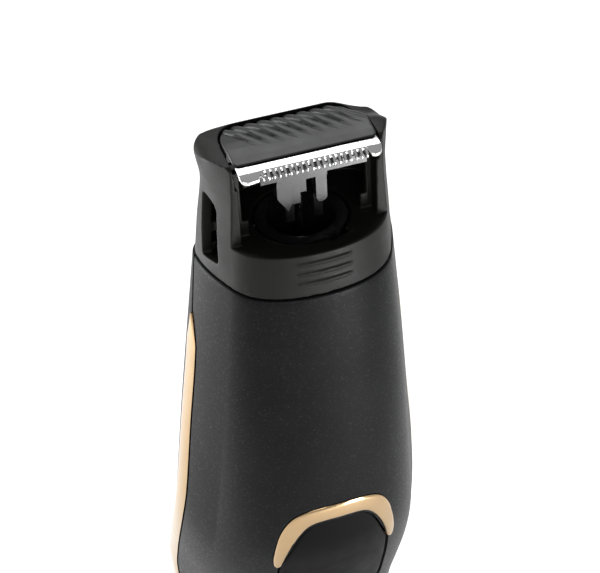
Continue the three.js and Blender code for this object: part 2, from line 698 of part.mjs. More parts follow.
function padOutline(margin) {
  const shape = new THREE.Shape();
  const front = -4.7 - margin;
  const back = 7.6 + margin;
  const flank = 0.8 + margin;
  shape.moveTo(-12.1 - margin, front);
  shape.lineTo(12.1 + margin, front);
  shape.quadraticCurveTo(12.1 + flank, -2.5, 11.9 + flank, 0.5);
  shape.quadraticCurveTo(11.8 + margin, back - 0.2, 8, back);
  shape.lineTo(-8, back);
  shape.quadraticCurveTo(-11.8 - margin, back - 0.2, -11.9 - flank, 0.5);
  shape.quadraticCurveTo(-12.1 - flank, -2.5, -12.1 - margin, front);
  return shape;
}

// The tall slot in each side wall, as a side view.
function slotOutline() {
  const shape = new THREE.Shape();
  shape.moveTo(SLOT_FRONT + 0.6, DECK_Z - 5.6);
  shape.lineTo(SLOT_BACK - 0.6, DECK_Z - 6.2);
  shape.quadraticCurveTo(SLOT_BACK, DECK_Z - 6.2, SLOT_BACK, DECK_Z - 5.4);
  shape.lineTo(SLOT_BACK - 0.3, DECK_Z + 6.4);
  shape.quadraticCurveTo(SLOT_BACK - 0.4, DECK_Z + 7.4, SLOT_BACK - 1.6, DECK_Z + 7.4);
  shape.quadraticCurveTo(SLOT_FRONT, DECK_Z + 7.2, SLOT_FRONT, DECK_Z + 5);
  shape.lineTo(SLOT_FRONT, DECK_Z - 4.8);
  shape.quadraticCurveTo(SLOT_FRONT, DECK_Z - 5.6, SLOT_FRONT + 0.6, DECK_Z - 5.6);
  return shape;
}

function gripRidges() {
  return [-1.1, -3.5, -5.9].map((drop) => {
    const bar = new THREE.CylinderGeometry(0.7, 0.7, 11, 8);
    bar.rotateZ(Math.PI / 2);
    return solid(bar.translate(0, -11.55, DECK_Z + drop - 0.6));
  });
}

function headFrame() {
  const outer = headLoft(SEAM_Z - 1, DECK_Z + 17, 8, 0)
    .intersect(prismX(headProfile(), -REACH, REACH))
    .intersect(prismY(headFront(), -REACH, REACH));
  const skirtHollow = headLoft(SEAM_Z - 2, DECK_Z - DECK_THICKNESS, 3, HEAD_WALL);
  const cavity = headLoft(DECK_Z, WINDOW_TOP, 3, HEAD_WALL).intersect(
    box([-REACH, REACH], [-2.6, REACH], [DECK_Z, WINDOW_TOP]),
  );
  const window = box([-WINDOW_HALF, WINDOW_HALF], [-REACH, -2], [DECK_Z, WINDOW_TOP]);
  const bladePocket = box(
    [-POCKET_HALF, POCKET_HALF],
    [-REACH, BLADE_BACK],
    [WINDOW_TOP - 1, DECK_Z + 20],
  );
  const screwHole = (x) =>
    rod(PAD_SCREW_R + GAP + 0.1, WINDOW_TOP - 1, PAD_FLOOR + 1, x, PAD_SCREW_Y, 12);
  const padRecess = prismZ(padOutline(GAP), PAD_FLOOR, DECK_Z + 20);
  const notch = box([-2, 2], [BORE_R - 1, BORE_R + 0.8], [DECK_Z - 3, DECK_Z + 1]);
  return cut(
    union(outer, ...gripRidges()),
    skirtHollow,
    cavity,
    window,
    bladePocket,
    padRecess,
    rod(BORE_R, DECK_Z - 4, DECK_Z + 1, 0, 0, 40),
    notch.rotate([0, 0, NOTCH_ANGLE - 90]),
    prismX(slotOutline(), -REACH, -SLOT_INNER_X),
    prismX(slotOutline(), SLOT_INNER_X, REACH),
    ...PAD_SCREWS.map(([, x]) => screwHole(x)),
  );
}

place(frame, "head_frame", headFrame(), HEAD_BLACK);

// ---- Guard pad with its slanting ribs ----
const RIB_COUNT = 10;
const RIB_PITCH = 2.3;
const RIB_SLANT = 2;

function padProfile() {
  const shape = new THREE.Shape();
  shape.moveTo(-4.7, DECK_Z + 16.5);
  shape.lineTo(BLADE_BACK - GAP, DECK_Z + 16.5);
  shape.lineTo(BLADE_BACK + GAP, DECK_Z + 16.1);
  shape.lineTo(BLADE_BACK + GAP, PAD_FLOOR + GAP);
  shape.lineTo(8, PAD_FLOOR + GAP);
  shape.lineTo(8, DECK_Z + 14.6);
  shape.quadraticCurveTo(5.6, DECK_Z + 17.6, 0, DECK_Z + 17.7);
  shape.quadraticCurveTo(-3.4, DECK_Z + 17.6, -4.7, DECK_Z + 16.8);
  return shape;
}

function padRib(index) {
  const x = (index - (RIB_COUNT - 1) / 2) * RIB_PITCH - RIB_SLANT / 2;
  const route = new THREE.CatmullRomCurve3([
    new THREE.Vector3(x, 7.4, DECK_Z + 14.8),
    new THREE.Vector3(x + 0.3 * RIB_SLANT, 4.2, DECK_Z + 16.9),
    new THREE.Vector3(x + 0.7 * RIB_SLANT, 0.8, DECK_Z + 17.3),
    new THREE.Vector3(x + RIB_SLANT, -2, DECK_Z + 16.8),
  ]);
  const section = new THREE.Shape().absellipse(0, 0, 0.8, 0.8, 0, 2 * Math.PI);
  return solid(new THREE.ExtrudeGeometry(section, { steps: 6, curveSegments: 3, extrudePath: route }));
}

function guardPad() {
  const blank = prismX(padProfile(), -REACH, REACH).intersect(prismZ(padOutline(0), 150, 180));
  const ribs = Array.from({ length: RIB_COUNT }, (_, index) => padRib(index));
  return cut(
    union(blank, ...ribs.map((rib) => rib.intersect(prismZ(padOutline(-0.2), PAD_FLOOR + GAP, 180)))),
    ...PAD_SCREWS.map(([, x]) => rod(PAD_SCREW_R + GAP, 150, CROWN - 0.1, x, PAD_SCREW_Y, 12)),
  );
}

place(frame, "guard_pad", guardPad(), PAD_GREY);
for (const [name, x] of PAD_SCREWS) {
  const head = rod(1.9, WINDOW_TOP - 1.3, WINDOW_TOP - GAP, x, PAD_SCREW_Y, 14);
  const shank = rod(PAD_SCREW_R, WINDOW_TOP - 0.5, CROWN - 0.5, x, PAD_SCREW_Y, 10);
  place(frame, `pad_screw_${name}`, union(head, shank), DARK_STEEL);
}

// ---- Blades ----
const BLADE_HALF = 12.1;
const BLADE_FRONT = -8.7;
const BLADE_ROOT = -7.5; // bottom of the gaps between the fixed blade's teeth
const BLADE_UNDER = DECK_Z + 15.6;
const BLADE_THICKNESS = 0.6;
const END_ROUND = 1.4; // rounding of the fixed blade's front corners
const TOOTH_TIP = -8.9;
const FIXED_TEETH = 20;
const FIXED_PITCH = 0.925;
const FIXED_FIRST = -8.2;
const MOVING_TEETH = 13;
const MOVING_PITCH = 1.475;
const MOVING_FIRST = -6.8;

// Appends a row of teeth, from the left end to the right, to a plate outline of (x, y).
function addTeeth(shape, first, pitch, count, root, tip, width) {
  for (let tooth = 0; tooth < count; tooth++) {
    const x = first + tooth * pitch;
    shape.lineTo(x - width / 2, root);
    shape.lineTo(x - width / 3, tip);
    shape.lineTo(x + width / 3, tip);
    shape.lineTo(x + width / 2, root);
  }
}

function fixedBlade() {
  const shape = new THREE.Shape();
  shape.moveTo(BLADE_HALF - 0.6, BLADE_BACK - GAP);
  shape.lineTo(0.6 - BLADE_HALF, BLADE_BACK - GAP);
  shape.lineTo(-BLADE_HALF, BLADE_FRONT + 3);
  shape.lineTo(-BLADE_HALF, BLADE_FRONT + END_ROUND);
  shape.quadraticCurveTo(-BLADE_HALF, BLADE_FRONT, END_ROUND - BLADE_HALF, BLADE_FRONT);
  shape.lineTo(FIXED_FIRST - 1.1, BLADE_FRONT + 0.2);
  addTeeth(shape, FIXED_FIRST, FIXED_PITCH, FIXED_TEETH, BLADE_ROOT, TOOTH_TIP, 0.56);
  shape.lineTo(FIXED_FIRST + FIXED_TEETH * FIXED_PITCH, BLADE_FRONT + 0.2);
  shape.lineTo(BLADE_HALF - END_ROUND, BLADE_FRONT);
  shape.quadraticCurveTo(BLADE_HALF, BLADE_FRONT, BLADE_HALF, BLADE_FRONT + END_ROUND);
  shape.lineTo(BLADE_HALF, BLADE_FRONT + 3);
  return prismZ(shape, BLADE_UNDER, BLADE_UNDER + BLADE_THICKNESS);
}

function movingBlade() {
  const left = MOVING_FIRST - 0.8;
  const right = MOVING_FIRST + (MOVING_TEETH - 1) * MOVING_PITCH + 0.4;
  const shape = new THREE.Shape();
  shape.moveTo(right, -2.2);
  shape.lineTo(left, -2.2);
  shape.lineTo(left, -7.1);
  addTeeth(shape, MOVING_FIRST, MOVING_PITCH, MOVING_TEETH, -7.1, -8.4, 0.8);
  shape.lineTo(right, -7.1);
  const top = BLADE_UNDER - GAP;
  return prismZ(shape, top - BLADE_THICKNESS, top);
}

place(frame, "fixed_blade", fixedBlade(), STEEL);
place(frame, "moving_blade", movingBlade(), STEEL);

// The carrier: a bar under the moving blade, hanging prongs and the fork round the drive pin.
function bladeCarrier() {
  const barTop = BLADE_UNDER - BLADE_THICKNESS - 2 * GAP;
  const bar = box([-8.4, 9.8], [-6.8, -2.4], [DECK_Z + 12.7, barTop]);
  const bridge = box([-5, 3.7], [-4.2, 1.8], [DECK_Z + 10, DECK_Z + 12.3]).add(
    box([-5, 3.7], [-4.2, -2.6], [DECK_Z + 12, DECK_Z + 13]),
  );
  const blockTip = outline([
    [-5, DECK_Z + 11],
    [-5, DECK_Z + 7],
    [-3.2, DECK_Z + 4],
    [-2.6, DECK_Z + 5.4],
    [-2.6, DECK_Z + 11],
  ]);
  const leftBlock = prismY(blockTip, -4, -2.2);
  const middle = box([-2.6, -0.9], [-3.6, -2.2], [DECK_Z + 5, DECK_Z + 11]);
  const short = box([-0.9, 0.3], [-3.2, -2.2], [DECK_Z + 6.8, DECK_Z + 11]);
  const right = box([1.8, 3.7], [-3.8, -2.2], [DECK_Z + 5.4, DECK_Z + 11]);
  const rightTip = rodY(0.95, -3.8, -2.2, 2.75, DECK_Z + 5.4, 12);
  const cheek = (x0, x1) => box([x0, x1], [-2.3, 1.8], [DECK_Z + 0.5, DECK_Z + 10]);
  return union(
    bar,
    bridge,
    leftBlock,
    middle,
    short,
    right,
    rightTip,
    cheek(-FORK_HALF_GAP - 1.5, -FORK_HALF_GAP),
    cheek(FORK_HALF_GAP, FORK_HALF_GAP + 1.5),
  );
}

place(frame, "blade_carrier", bladeCarrier(), INNER_BLACK);

// A leaf spring behind the carrier keeps the moving blade against the fixed one.
function bladeSpring() {
  const leaf = outline([
    [6.6, WINDOW_TOP - GAP],
    [2.6, WINDOW_TOP - GAP],
    [2.6, WINDOW_TOP - 5],
    [3, WINDOW_TOP - 5],
    [3, WINDOW_TOP - 0.7],
    [6.6, WINDOW_TOP - 0.7],
  ]);
  return prismX(leaf, -4.5, 4.5);
}

place(frame, "blade_spring", bladeSpring(), STEEL);

// Leaf catches under the deck, one on each side of the neck.
for (const [name, x] of [["left", -10], ["right", 10]]) {
  const leaf = box([x - 0.25, x + 0.25], [-3, 3], [SEAM_Z + 1.2, DECK_Z - DECK_THICKNESS - GAP]);
  place(frame, `latch_leaf_${name}`, leaf, NICKEL);
}

export default trimmer;
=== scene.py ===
"""Beard trimmer: a charcoal handle with gold strips, and a pull-off head with a toothed blade.

Shapes are drawn in millimetres in the drive shaft's frame (+Z up, front at -Y) and turned into
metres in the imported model's frame, whose origin is the middle of the flat base.
"""

import json
import math

import bmesh
import bpy
import numpy as np
from mathutils import Matrix, Vector


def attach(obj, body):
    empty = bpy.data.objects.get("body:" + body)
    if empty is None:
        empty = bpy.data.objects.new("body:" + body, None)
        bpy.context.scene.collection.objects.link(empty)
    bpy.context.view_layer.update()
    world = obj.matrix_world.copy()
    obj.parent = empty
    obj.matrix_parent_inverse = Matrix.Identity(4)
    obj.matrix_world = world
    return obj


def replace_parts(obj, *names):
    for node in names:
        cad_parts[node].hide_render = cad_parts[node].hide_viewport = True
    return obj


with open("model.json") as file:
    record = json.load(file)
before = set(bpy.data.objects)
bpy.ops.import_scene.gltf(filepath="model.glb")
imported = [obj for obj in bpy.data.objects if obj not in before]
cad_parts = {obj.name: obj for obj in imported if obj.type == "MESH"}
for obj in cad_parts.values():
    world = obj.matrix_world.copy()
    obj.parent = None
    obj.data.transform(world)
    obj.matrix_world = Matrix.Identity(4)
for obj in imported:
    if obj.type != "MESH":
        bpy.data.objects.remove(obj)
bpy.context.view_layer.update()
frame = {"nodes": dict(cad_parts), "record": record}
nodes = frame["nodes"]

MM = 0.001  # a millimetre in metres
BASE_Y = 24.0  # middle of the base behind the drive shaft
SEAM_Z = 138.0  # top of the handle
DECK_Z = 147.0  # deck of the head
CAP_TOP = 6.0
REACH = 60.0  # further out than any part, for cuts that go right through
SHELL_WALL = 1.9
HEAD_WALL = 1.8
SEAM = 0.15  # half of the gap between neighbouring pieces

# Handle sections from the base up: z, front, crease x, crease y, half width, widest line,
# parting line, back.
HANDLE = [
    (0, 5, 14, 13, 18.6, 29, 28.6, 42),
    (20, 5.8, 17.6, 16, 23.2, 33, 32, 44),
    (37, 3, 20.2, 15, 24.6, 32, 31, 42.4),
    (47, -0.8, 21.2, 12, 24.8, 27.6, 26.6, 38),
    (57, -5, 21.4, 7.8, 24.9, 22, 21.2, 32.4),
    (67, -9, 20.8, 4, 24.7, 17.4, 16.4, 27.8),
    (77, -11.7, 19.9, 1.8, 24, 15.2, 13.4, 24.8),
    (97, -12.6, 18.2, -1.2, 22, 13, 10.8, 21.2),
    (117, -12.4, 16.4, -3.6, 20, 10, 7.9, 17.6),
    (138, -11.9, 14.4, -5.2, 17.8, 6.8, 6.8, 14.4),
]
# Head sections: z, front, crease x, crease y, half width, widest line, back.
HEAD = [
    (138, -11.7, 14.2, -5.1, 17.5, 6.4, 14),
    (147, -11.6, 13.8, -4.95, 16.8, 4.8, 12.4),
    (156, -11.2, 13.2, -5.3, 15.9, 3.4, 10.6),
    (160, -10.9, 13.1, -5.4, 16.3, 3.6, 9.9),
    (164, -10.6, 12.9, -5.6, 16.8, 3.8, 9.3),
]

# How round a section is: the control points of its curves as shares of their spans.
FRONT_FLAT = 0.55
CREASE_BEND = (0.86, 0.38)
SIDE_BEND = 0.62
BACK_BEND = 0.66


# ---- Section curves ----
def reader(table):
    """A table of sections as a smooth function of height."""
    heights = [row[0] for row in table]
    values = np.array([row[1:] for row in table], float)
    last = len(heights) - 1

    def slope(k):
        """The slope at a section that has a neighbour on each side."""
        return (values[k + 1] - values[k - 1]) / (heights[k + 1] - heights[k - 1])

    def at(z):
        z = min(max(z, heights[0]), heights[-1])
        i = next((k for k in range(1, last) if z < heights[k]), last)
        low, high = heights[i - 1], heights[i]
        step = high - low
        chord = (values[i] - values[i - 1]) / step
        if i == 1:
            slope_high = slope(i)
            slope_low = 1.5 * chord - 0.5 * slope_high
        else:
            slope_low = slope(i - 1)
            slope_high = slope(i) if i < last else 1.5 * chord - 0.5 * slope_low
        p = (z - low) / step
        return (
            (2 * p**3 - 3 * p**2 + 1) * values[i - 1]
            + (p**3 - 2 * p**2 + p) * step * slope_low
            + (3 * p**2 - 2 * p**3) * values[i]
            + (p**3 - p**2) * step * slope_high
        )

    return at


handle_at = reader(HANDLE)
head_at = reader(HEAD)


def bezier(points, t):
    """A curve with one or two control points between its ends."""
    points = np.array(points, float)
    t = np.asarray(t)[:, None]
    if len(points) == 3:
        return (1 - t) ** 2 * points[0] + 2 * (1 - t) * t * points[1] + t**2 * points[2]
    return (
        (1 - t) ** 3 * points[0]
        + 3 * (1 - t) ** 2 * t * points[1]
        + 3 * (1 - t) * t**2 * points[2]
        + t**3 * points[3]
    )


def half_outline(section, u):
    """Points of the right half of a section: u runs 0-1 over the front, to 2 over the side and to
    3 at the middle of the back."""
    front, crease_x, crease_y, half, wide = section[:5]
    back = section[-1]
    u = np.asarray(u, float)
    arc = bezier(
        [
            (0, front),
            (FRONT_FLAT * crease_x, front),
            (CREASE_BEND[0] * crease_x, front + CREASE_BEND[1] * (crease_y - front)),
            (crease_x, crease_y),
        ],
        np.clip(u, 0, 1),
    )
    side = bezier(
        [(crease_x, crease_y), (half, crease_y + SIDE_BEND * (wide - crease_y)), (half, wide)],
        np.clip(u - 1, 0, 1),
    )
    rear = bezier(
        [(half, wide), (half, wide + BACK_BEND * (back - wide)), (BACK_BEND * half, back), (0, back)],
        np.clip(u - 2, 0, 1),
    )
    u = u[:, None]
    return np.where(u < 1, arc, np.where(u < 2, side, rear))


DENSE = np.linspace(0, 3, 901)  # stations round a half outline
DENSE_FRONT = DENSE[:301]


def surface_point(section, u, proud=0.0):
    """A point on a section's outline at a signed u (negative on the left), moved out by proud."""
    step = 1e-3
    near = half_outline(section, [max(abs(u) - step, 0), min(abs(u) + step, 3)])
    point = half_outline(section, [abs(u)])[0]
    along = near[1] - near[0]
    along /= max(np.hypot(*along), 1e-9)
    point = point + proud * np.array([along[1], -along[0]])
    return np.array([math.copysign(point[0], u) if u else 0.0, point[1]])


def u_at_y(section, y):
    """Where the outline reaches that Y, between the crease and the back."""
    points = half_outline(section, DENSE)
    return float(np.interp(y, points[:, 1], DENSE))


def u_at_x(section, x):
    """Where the front arc reaches that X."""
    arc = half_outline(section, DENSE_FRONT)
    return math.copysign(float(np.interp(abs(x), arc[:, 0], DENSE_FRONT)), x)


# ---- Mesh making ----
def new_mesh(name, points, faces, closed=True):
    """An object from points in millimetres in the drive shaft's frame."""
    mesh = bpy.data.meshes.new(name)
    scaled = [(x * MM, (y - BASE_Y) * MM, z * MM) for x, y, z in points]
    mesh.from_pydata(scaled, [], faces)
    if closed:
        facing = bmesh.new()
        facing.from_mesh(mesh)
        bmesh.ops.recalc_face_normals(facing, faces=facing.faces)
        facing.to_mesh(mesh)
        facing.free()
    obj = bpy.data.objects.new(name, mesh)
    bpy.context.scene.collection.objects.link(obj)
    return obj


def grid(name, rows):
    """A sheet of quads through equal rows of points, each row anticlockwise seen from above."""
    count = len(rows[0])
    points = [p for row in rows for p in row]
    faces = []
    for r in range(len(rows) - 1):
        for c in range(count - 1):
            a, b = r * count + c, r * count + c + 1
            faces.append((a, b, b + count, a + count))
    return new_mesh(name, points, faces, False)


def tube(name, rings):
    """A closed body through rings of points, with flat ends."""
    count = len(rings[0])
    points = [p for ring in rings for p in ring]
    faces = []
    for r in range(len(rings) - 1):
        for c in range(count):
            a, b = r * count + c, r * count + (c + 1) % count
            faces.append((a, b, b + count, a + count))
    faces.append(tuple(range(count)))
    faces.append(tuple(range((len(rings) - 1) * count, len(rings) * count)))
    return new_mesh(name, points, faces)


def block(name, x, y, z):
    """A box between two values on each axis."""
    corners = [(x[0], y[0]), (x[1], y[0]), (x[1], y[1]), (x[0], y[1])]
    return prism_z(name, corners, *z)


def circle(radius, a=0.0, b=0.0, sides=96):
    """Points round a circle about (a, b)."""
    turns = [2 * math.pi * k / sides for k in range(sides)]
    return [(a + radius * math.cos(turn), b + radius * math.sin(turn)) for turn in turns]


def rod(name, radius, low, high, x=0.0, y=0.0, sides=96):
    """An upright cylinder, or a prism where it has few sides."""
    return prism_z(name, circle(radius, x, y, sides), low, high)


def prism_x(name, shape, low, high):
    """A side view outline of (y, z) carried through X."""
    return tube(name, [[(x, y, z) for y, z in shape] for x in (low, high)])


def prism_y(name, shape, low, high):
    """A front view outline of (x, z) carried through Y."""
    return tube(name, [[(x, y, z) for x, z in shape] for y in (low, high)])


def prism_z(name, shape, low, high):
    """A plan outline of (x, y) carried upwards."""
    return tube(name, [[(x, y, z) for x, y in shape] for z in (low, high)])


def curve(*pieces, count=10):
    """An outline from straight points and (control, end) curves."""
    points = []
    for piece in pieces:
        if isinstance(piece[0], tuple):
            start, (control, end) = points[-1], piece
            samples = bezier([start, control, end], np.linspace(0, 1, count + 1)[1:])
            points += [tuple(p) for p in samples]
        else:
            points.append(piece)
    return points


def settle(obj):
    """Applies an object's modifiers to its mesh."""
    bpy.context.view_layer.update()
    graph = bpy.context.evaluated_depsgraph_get()
    made = bpy.data.meshes.new_from_object(obj.evaluated_get(graph))
    old = obj.data
    obj.modifiers.clear()
    obj.data = made
    made.name = obj.name
    bpy.data.meshes.remove(old)
    return obj


def combine(body, tool, operation="DIFFERENCE"):
    """Cuts, joins or meets a body with a second one, which is used up."""
    change = body.modifiers.new("combine", "BOOLEAN")
    change.operation = operation
    change.solver = "MANIFOLD"
    change.object = tool
    settle(body)
    bpy.data.objects.remove(tool)
    return body


def thicken(obj, wall, round_edge=0.0):
    """Gives a sheet a wall on its inner side and rounds its edges."""
    shell = obj.modifiers.new("wall", "SOLIDIFY")
    shell.thickness = wall * MM
    shell.offset = -1
    settle(obj)
    if round_edge:
        soften(obj, round_edge)
    return obj


def soften(obj, width, segments=3, angle=40):
    """Rounds the edges that turn by more than an angle."""
    edge = obj.modifiers.new("edges", "BEVEL")
    edge.width = width * MM
    edge.segments = segments
    edge.limit_method = "ANGLE"
    edge.angle_limit = math.radians(angle)
    edge.harden_normals = False
    return settle(obj)


def smooth(obj, angle=35):
    """Smooth shading, broken at edges sharper than an angle."""
    for face in obj.data.polygons:
        face.use_smooth = True
    obj.data.set_sharp_from_angle(angle=math.radians(angle))
    return obj


def edge_drop(gap, width, depth):
    """How far a rounded edge has fallen at a distance from its rim."""
    outward = 1 - min(1.0, gap / width)
    return depth * (1 - math.sqrt(1 - outward**2))


def melt(obj, voxel, rounds, keep):
    """Rounds every edge a little, as a mould does: remeshed, smoothed and thinned out."""
    remesh = obj.modifiers.new("remesh", "REMESH")
    remesh.mode = "VOXEL"
    remesh.voxel_size = voxel * MM
    even = obj.modifiers.new("even", "SMOOTH")
    even.iterations = rounds
    even.factor = 0.5
    thin = obj.modifiers.new("thin", "DECIMATE")
    thin.ratio = keep
    settle(obj)
    return smooth(obj, 80)


# ---- Materials ----
class Paint:
    """A node material with short calls for what the looks need."""

    def __init__(self, name):
        self.material = bpy.data.materials.new(name)
        self.material.use_nodes = True
        self.tree = self.material.node_tree
        self.shader = self.tree.nodes["Principled BSDF"]
        self.place = self.node("TexCoord").outputs["Object"]

    def node(self, kind, **settings):
        made = self.tree.nodes.new("ShaderNode" + kind)
        for key, value in settings.items():
            setattr(made, key, value)
        return made

    def link(self, source, target):
        self.tree.links.new(source, target)

    def noise(self, scale, detail=4.0, stretch=None):
        texture = self.node("TexNoise")
        texture.inputs["Scale"].default_value = scale
        texture.inputs["Detail"].default_value = detail
        place = self.place
        if stretch:
            mapping = self.node("Mapping")
            mapping.inputs["Scale"].default_value = stretch
            self.link(self.place, mapping.inputs["Vector"])
            place = mapping.outputs["Vector"]
        self.link(place, texture.inputs["Vector"])
        return texture.outputs["Fac"]

    def ramp(self, value, stops):
        """Colours by value, from (position, colour) stops."""
        made = self.node("ValToRGB")
        while len(made.color_ramp.elements) < len(stops):
            made.color_ramp.elements.new(0.5)
        for element, (position, colour) in zip(made.color_ramp.elements, stops):
            element.position = position
            element.color = (*colour, 1) if isinstance(colour, tuple) else (colour,) * 3 + (1,)
        self.link(value, made.inputs["Fac"])
        return made.outputs["Color"]

    def spread(self, value, low, high, out_low, out_high):
        """Maps the range low-high onto out_low-out_high."""
        made = self.node("MapRange")
        keys = ("From Min", "From Max", "To Min", "To Max")
        for key, number in zip(keys, (low, high, out_low, out_high)):
            made.inputs[key].default_value = number
        self.link(value, made.inputs["Value"])
        return made.outputs["Result"]

    def mix(self, factor, a, b, blend="MIX"):
        made = self.node("Mix", data_type="RGBA", blend_type=blend)
        for socket, value in ((made.inputs[0], factor), (made.inputs[6], a), (made.inputs[7], b)):
            if isinstance(value, (int, float)):
                socket.default_value = value
            elif isinstance(value, tuple):
                socket.default_value = (*value, 1)
            else:
                self.link(value, socket)
        return made.outputs[2]

    def bump(self, height, strength, distance, after=None):
        made = self.node("Bump")
        made.inputs["Strength"].default_value = strength
        made.inputs["Distance"].default_value = distance * MM
        self.link(height, made.inputs["Height"])
        if after is not None:
            self.link(after, made.inputs["Normal"])
        return made.outputs["Normal"]

    def set(self, **values):
        """Sets or links the main shader's inputs, with _ for a space."""
        for key, value in values.items():
            socket = self.shader.inputs[key.replace("_", " ")]
            if isinstance(value, (int, float)):
                socket.default_value = value
            elif isinstance(value, tuple):
                socket.default_value = (*value, 1)
            else:
                self.link(value, socket)
        return self


def edge_wear(paint, colour, worn, amount):
    """Colour that pales a little where edges are rubbed."""
    geometry = paint.node("NewGeometry")
    edges = paint.spread(geometry.outputs["Pointiness"], 0.52, 0.62, 0.0, amount)
    return paint.mix(edges, colour, worn)


def plastic(name, colour, rough=0.5, specular=0.35, grain=0.25, mottle=0.12, tooth=1400.0):
    """Moulded plastic with a fine spark-eroded grain and slightly uneven colour."""
    paint = Paint(name)
    dark = tuple(c * (1 - mottle) for c in colour)
    pale = tuple(c * (1 + mottle) for c in colour)
    base = paint.ramp(paint.noise(130.0), [(0.35, dark), (0.65, pale)])
    base = edge_wear(paint, base, tuple(min(1.0, c * 1.7 + 0.01) for c in colour), 0.5)
    fine = paint.noise(tooth * 2.4, 2.0)
    paint.set(
        Base_Color=base,
        Roughness=paint.spread(paint.noise(260.0), 0.3, 0.7, rough - 0.06, rough + 0.06),
        Normal=paint.bump(fine, grain, 0.05),
    )
    paint.shader.inputs["Specular IOR Level"].default_value = specular
    return paint.material


def flecked(name):
    """Charcoal lacquer with a fine metallic fleck that glints where light grazes it."""
    paint = Paint(name)
    dark, pale = (0.0044, 0.0045, 0.0048), (0.0058, 0.006, 0.0064)
    base = paint.ramp(paint.noise(90.0), [(0.35, dark), (0.65, pale)])
    base = edge_wear(paint, base, (0.03, 0.03, 0.032), 0.5)
    cells = paint.node("TexVoronoi")
    cells.inputs["Scale"].default_value = 4200.0
    paint.link(paint.place, cells.inputs["Vector"])
    tone = paint.node("SeparateColor")
    paint.link(cells.outputs["Color"], tone.inputs["Color"])
    fleck = paint.spread(tone.outputs[0], 0.86, 1.0, 0.0, 1.0)
    base = paint.mix(paint.spread(fleck, 0.0, 1.0, 0.0, 0.3), base, (0.035, 0.036, 0.038))
    grain = paint.bump(paint.noise(900.0), 0.06, 0.05)
    paint.set(
        Base_Color=base,
        Metallic=paint.spread(fleck, 0.0, 1.0, 0.0, 0.3),
        Roughness=paint.spread(fleck, 0.0, 1.0, 0.4, 0.3),
        Normal=paint.bump(cells.outputs["Distance"], 0.06, 0.03, grain),
    )
    paint.shader.inputs["Specular IOR Level"].default_value = 0.05
    return paint.material


def metal(name, colour, rough, brush=None, variation=0.08, bump=0.05):
    """Metal with fine brushing along one direction and slight stains."""
    paint = Paint(name)
    dark = tuple(c * (1 - variation) for c in colour)
    stretch = brush or (1.0, 1.0, 1.0)
    lines = paint.noise(2200.0, 3.0, stretch)
    base = paint.ramp(paint.noise(160.0), [(0.3, dark), (0.7, colour)])
    paint.set(
        Base_Color=base,
        Metallic=1.0,
        Roughness=paint.spread(lines, 0.3, 0.7, rough * 0.75, rough * 1.25),
        Normal=paint.bump(lines, bump, 0.02),
    )
    return paint.material


def milky(name, colour):
    """Frosted plastic that lets some light through."""
    paint = Paint(name)
    dark = tuple(c * 0.9 for c in colour)
    base = paint.ramp(paint.noise(400.0), [(0.3, dark), (0.7, colour)])
    paint.set(Base_Color=base, Roughness=paint.spread(paint.noise(700.0), 0.3, 0.7, 0.15, 0.3))
    paint.shader.inputs["Transmission Weight"].default_value = 0.3
    return paint.material


def board(name):
    """Green lacquered board with faint copper tracks."""
    paint = Paint(name)
    tracks = paint.node("TexBrick")
    tracks.inputs["Scale"].default_value = 260.0
    tracks.inputs["Color1"].default_value = (0.015, 0.12, 0.045, 1)
    tracks.inputs["Color2"].default_value = (0.018, 0.14, 0.05, 1)
    tracks.inputs["Mortar"].default_value = (0.05, 0.22, 0.08, 1)
    paint.link(paint.place, tracks.inputs["Vector"])
    paint.set(
        Base_Color=tracks.outputs["Color"],
        Roughness=paint.spread(paint.noise(500.0), 0.3, 0.7, 0.25, 0.4),
        Normal=paint.bump(tracks.outputs["Fac"], 0.2, 0.05),
    )
    return paint.material


FLAT_BRUSH = (1.0, 0.06, 1.0)  # brushing along Y, across a blade
UPRIGHT_BRUSH = (1.0, 1.0, 0.06)  # brushing along Z, up a strip

finishes = {
    "body_black": flecked("body_black"),
    "head_black": plastic("head_black", (0.0052, 0.0052, 0.0046), 0.48, 0.13, 0.3),
    "inner_black": plastic("inner_black", (0.005, 0.005, 0.0052), 0.24, 0.45, 0.12),
    "pad_grey": plastic("pad_grey", (0.015, 0.0155, 0.0165), 0.38, 0.25, 0.2),
    "trim_gold": metal("trim_gold", (0.46, 0.32, 0.178), 0.17, UPRIGHT_BRUSH, 0.08, 0.02),
    "blade_steel": metal("blade_steel", (0.68, 0.68, 0.68), 0.2, FLAT_BRUSH, 0.05),
    "dark_steel": metal("dark_steel", (0.2, 0.2, 0.21), 0.35),
    "nickel": metal("nickel", (0.55, 0.54, 0.5), 0.3),
    "seal_rubber": plastic("seal_rubber", (0.012, 0.012, 0.012), 0.8, 0.25, 0.4),
    "wire_red": plastic("wire_red", (0.4, 0.03, 0.02), 0.5, 0.4, 0.1),
    "board_green": board("board_green"),
    "cell_wrap": plastic("cell_wrap", (0.03, 0.11, 0.27), 0.35, 0.5, 0.05),
    "lens_clear": milky("lens_clear", (0.75, 0.8, 0.72)),
}


def dress(obj, slot, body, *stands_for):
    """Gives a piece its finish, its body and the CAD nodes it stands for."""
    obj.data.materials.clear()
    obj.data.materials.append(finishes[slot])
    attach(obj, body)
    if stands_for:
        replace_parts(obj, *stands_for)
    return obj


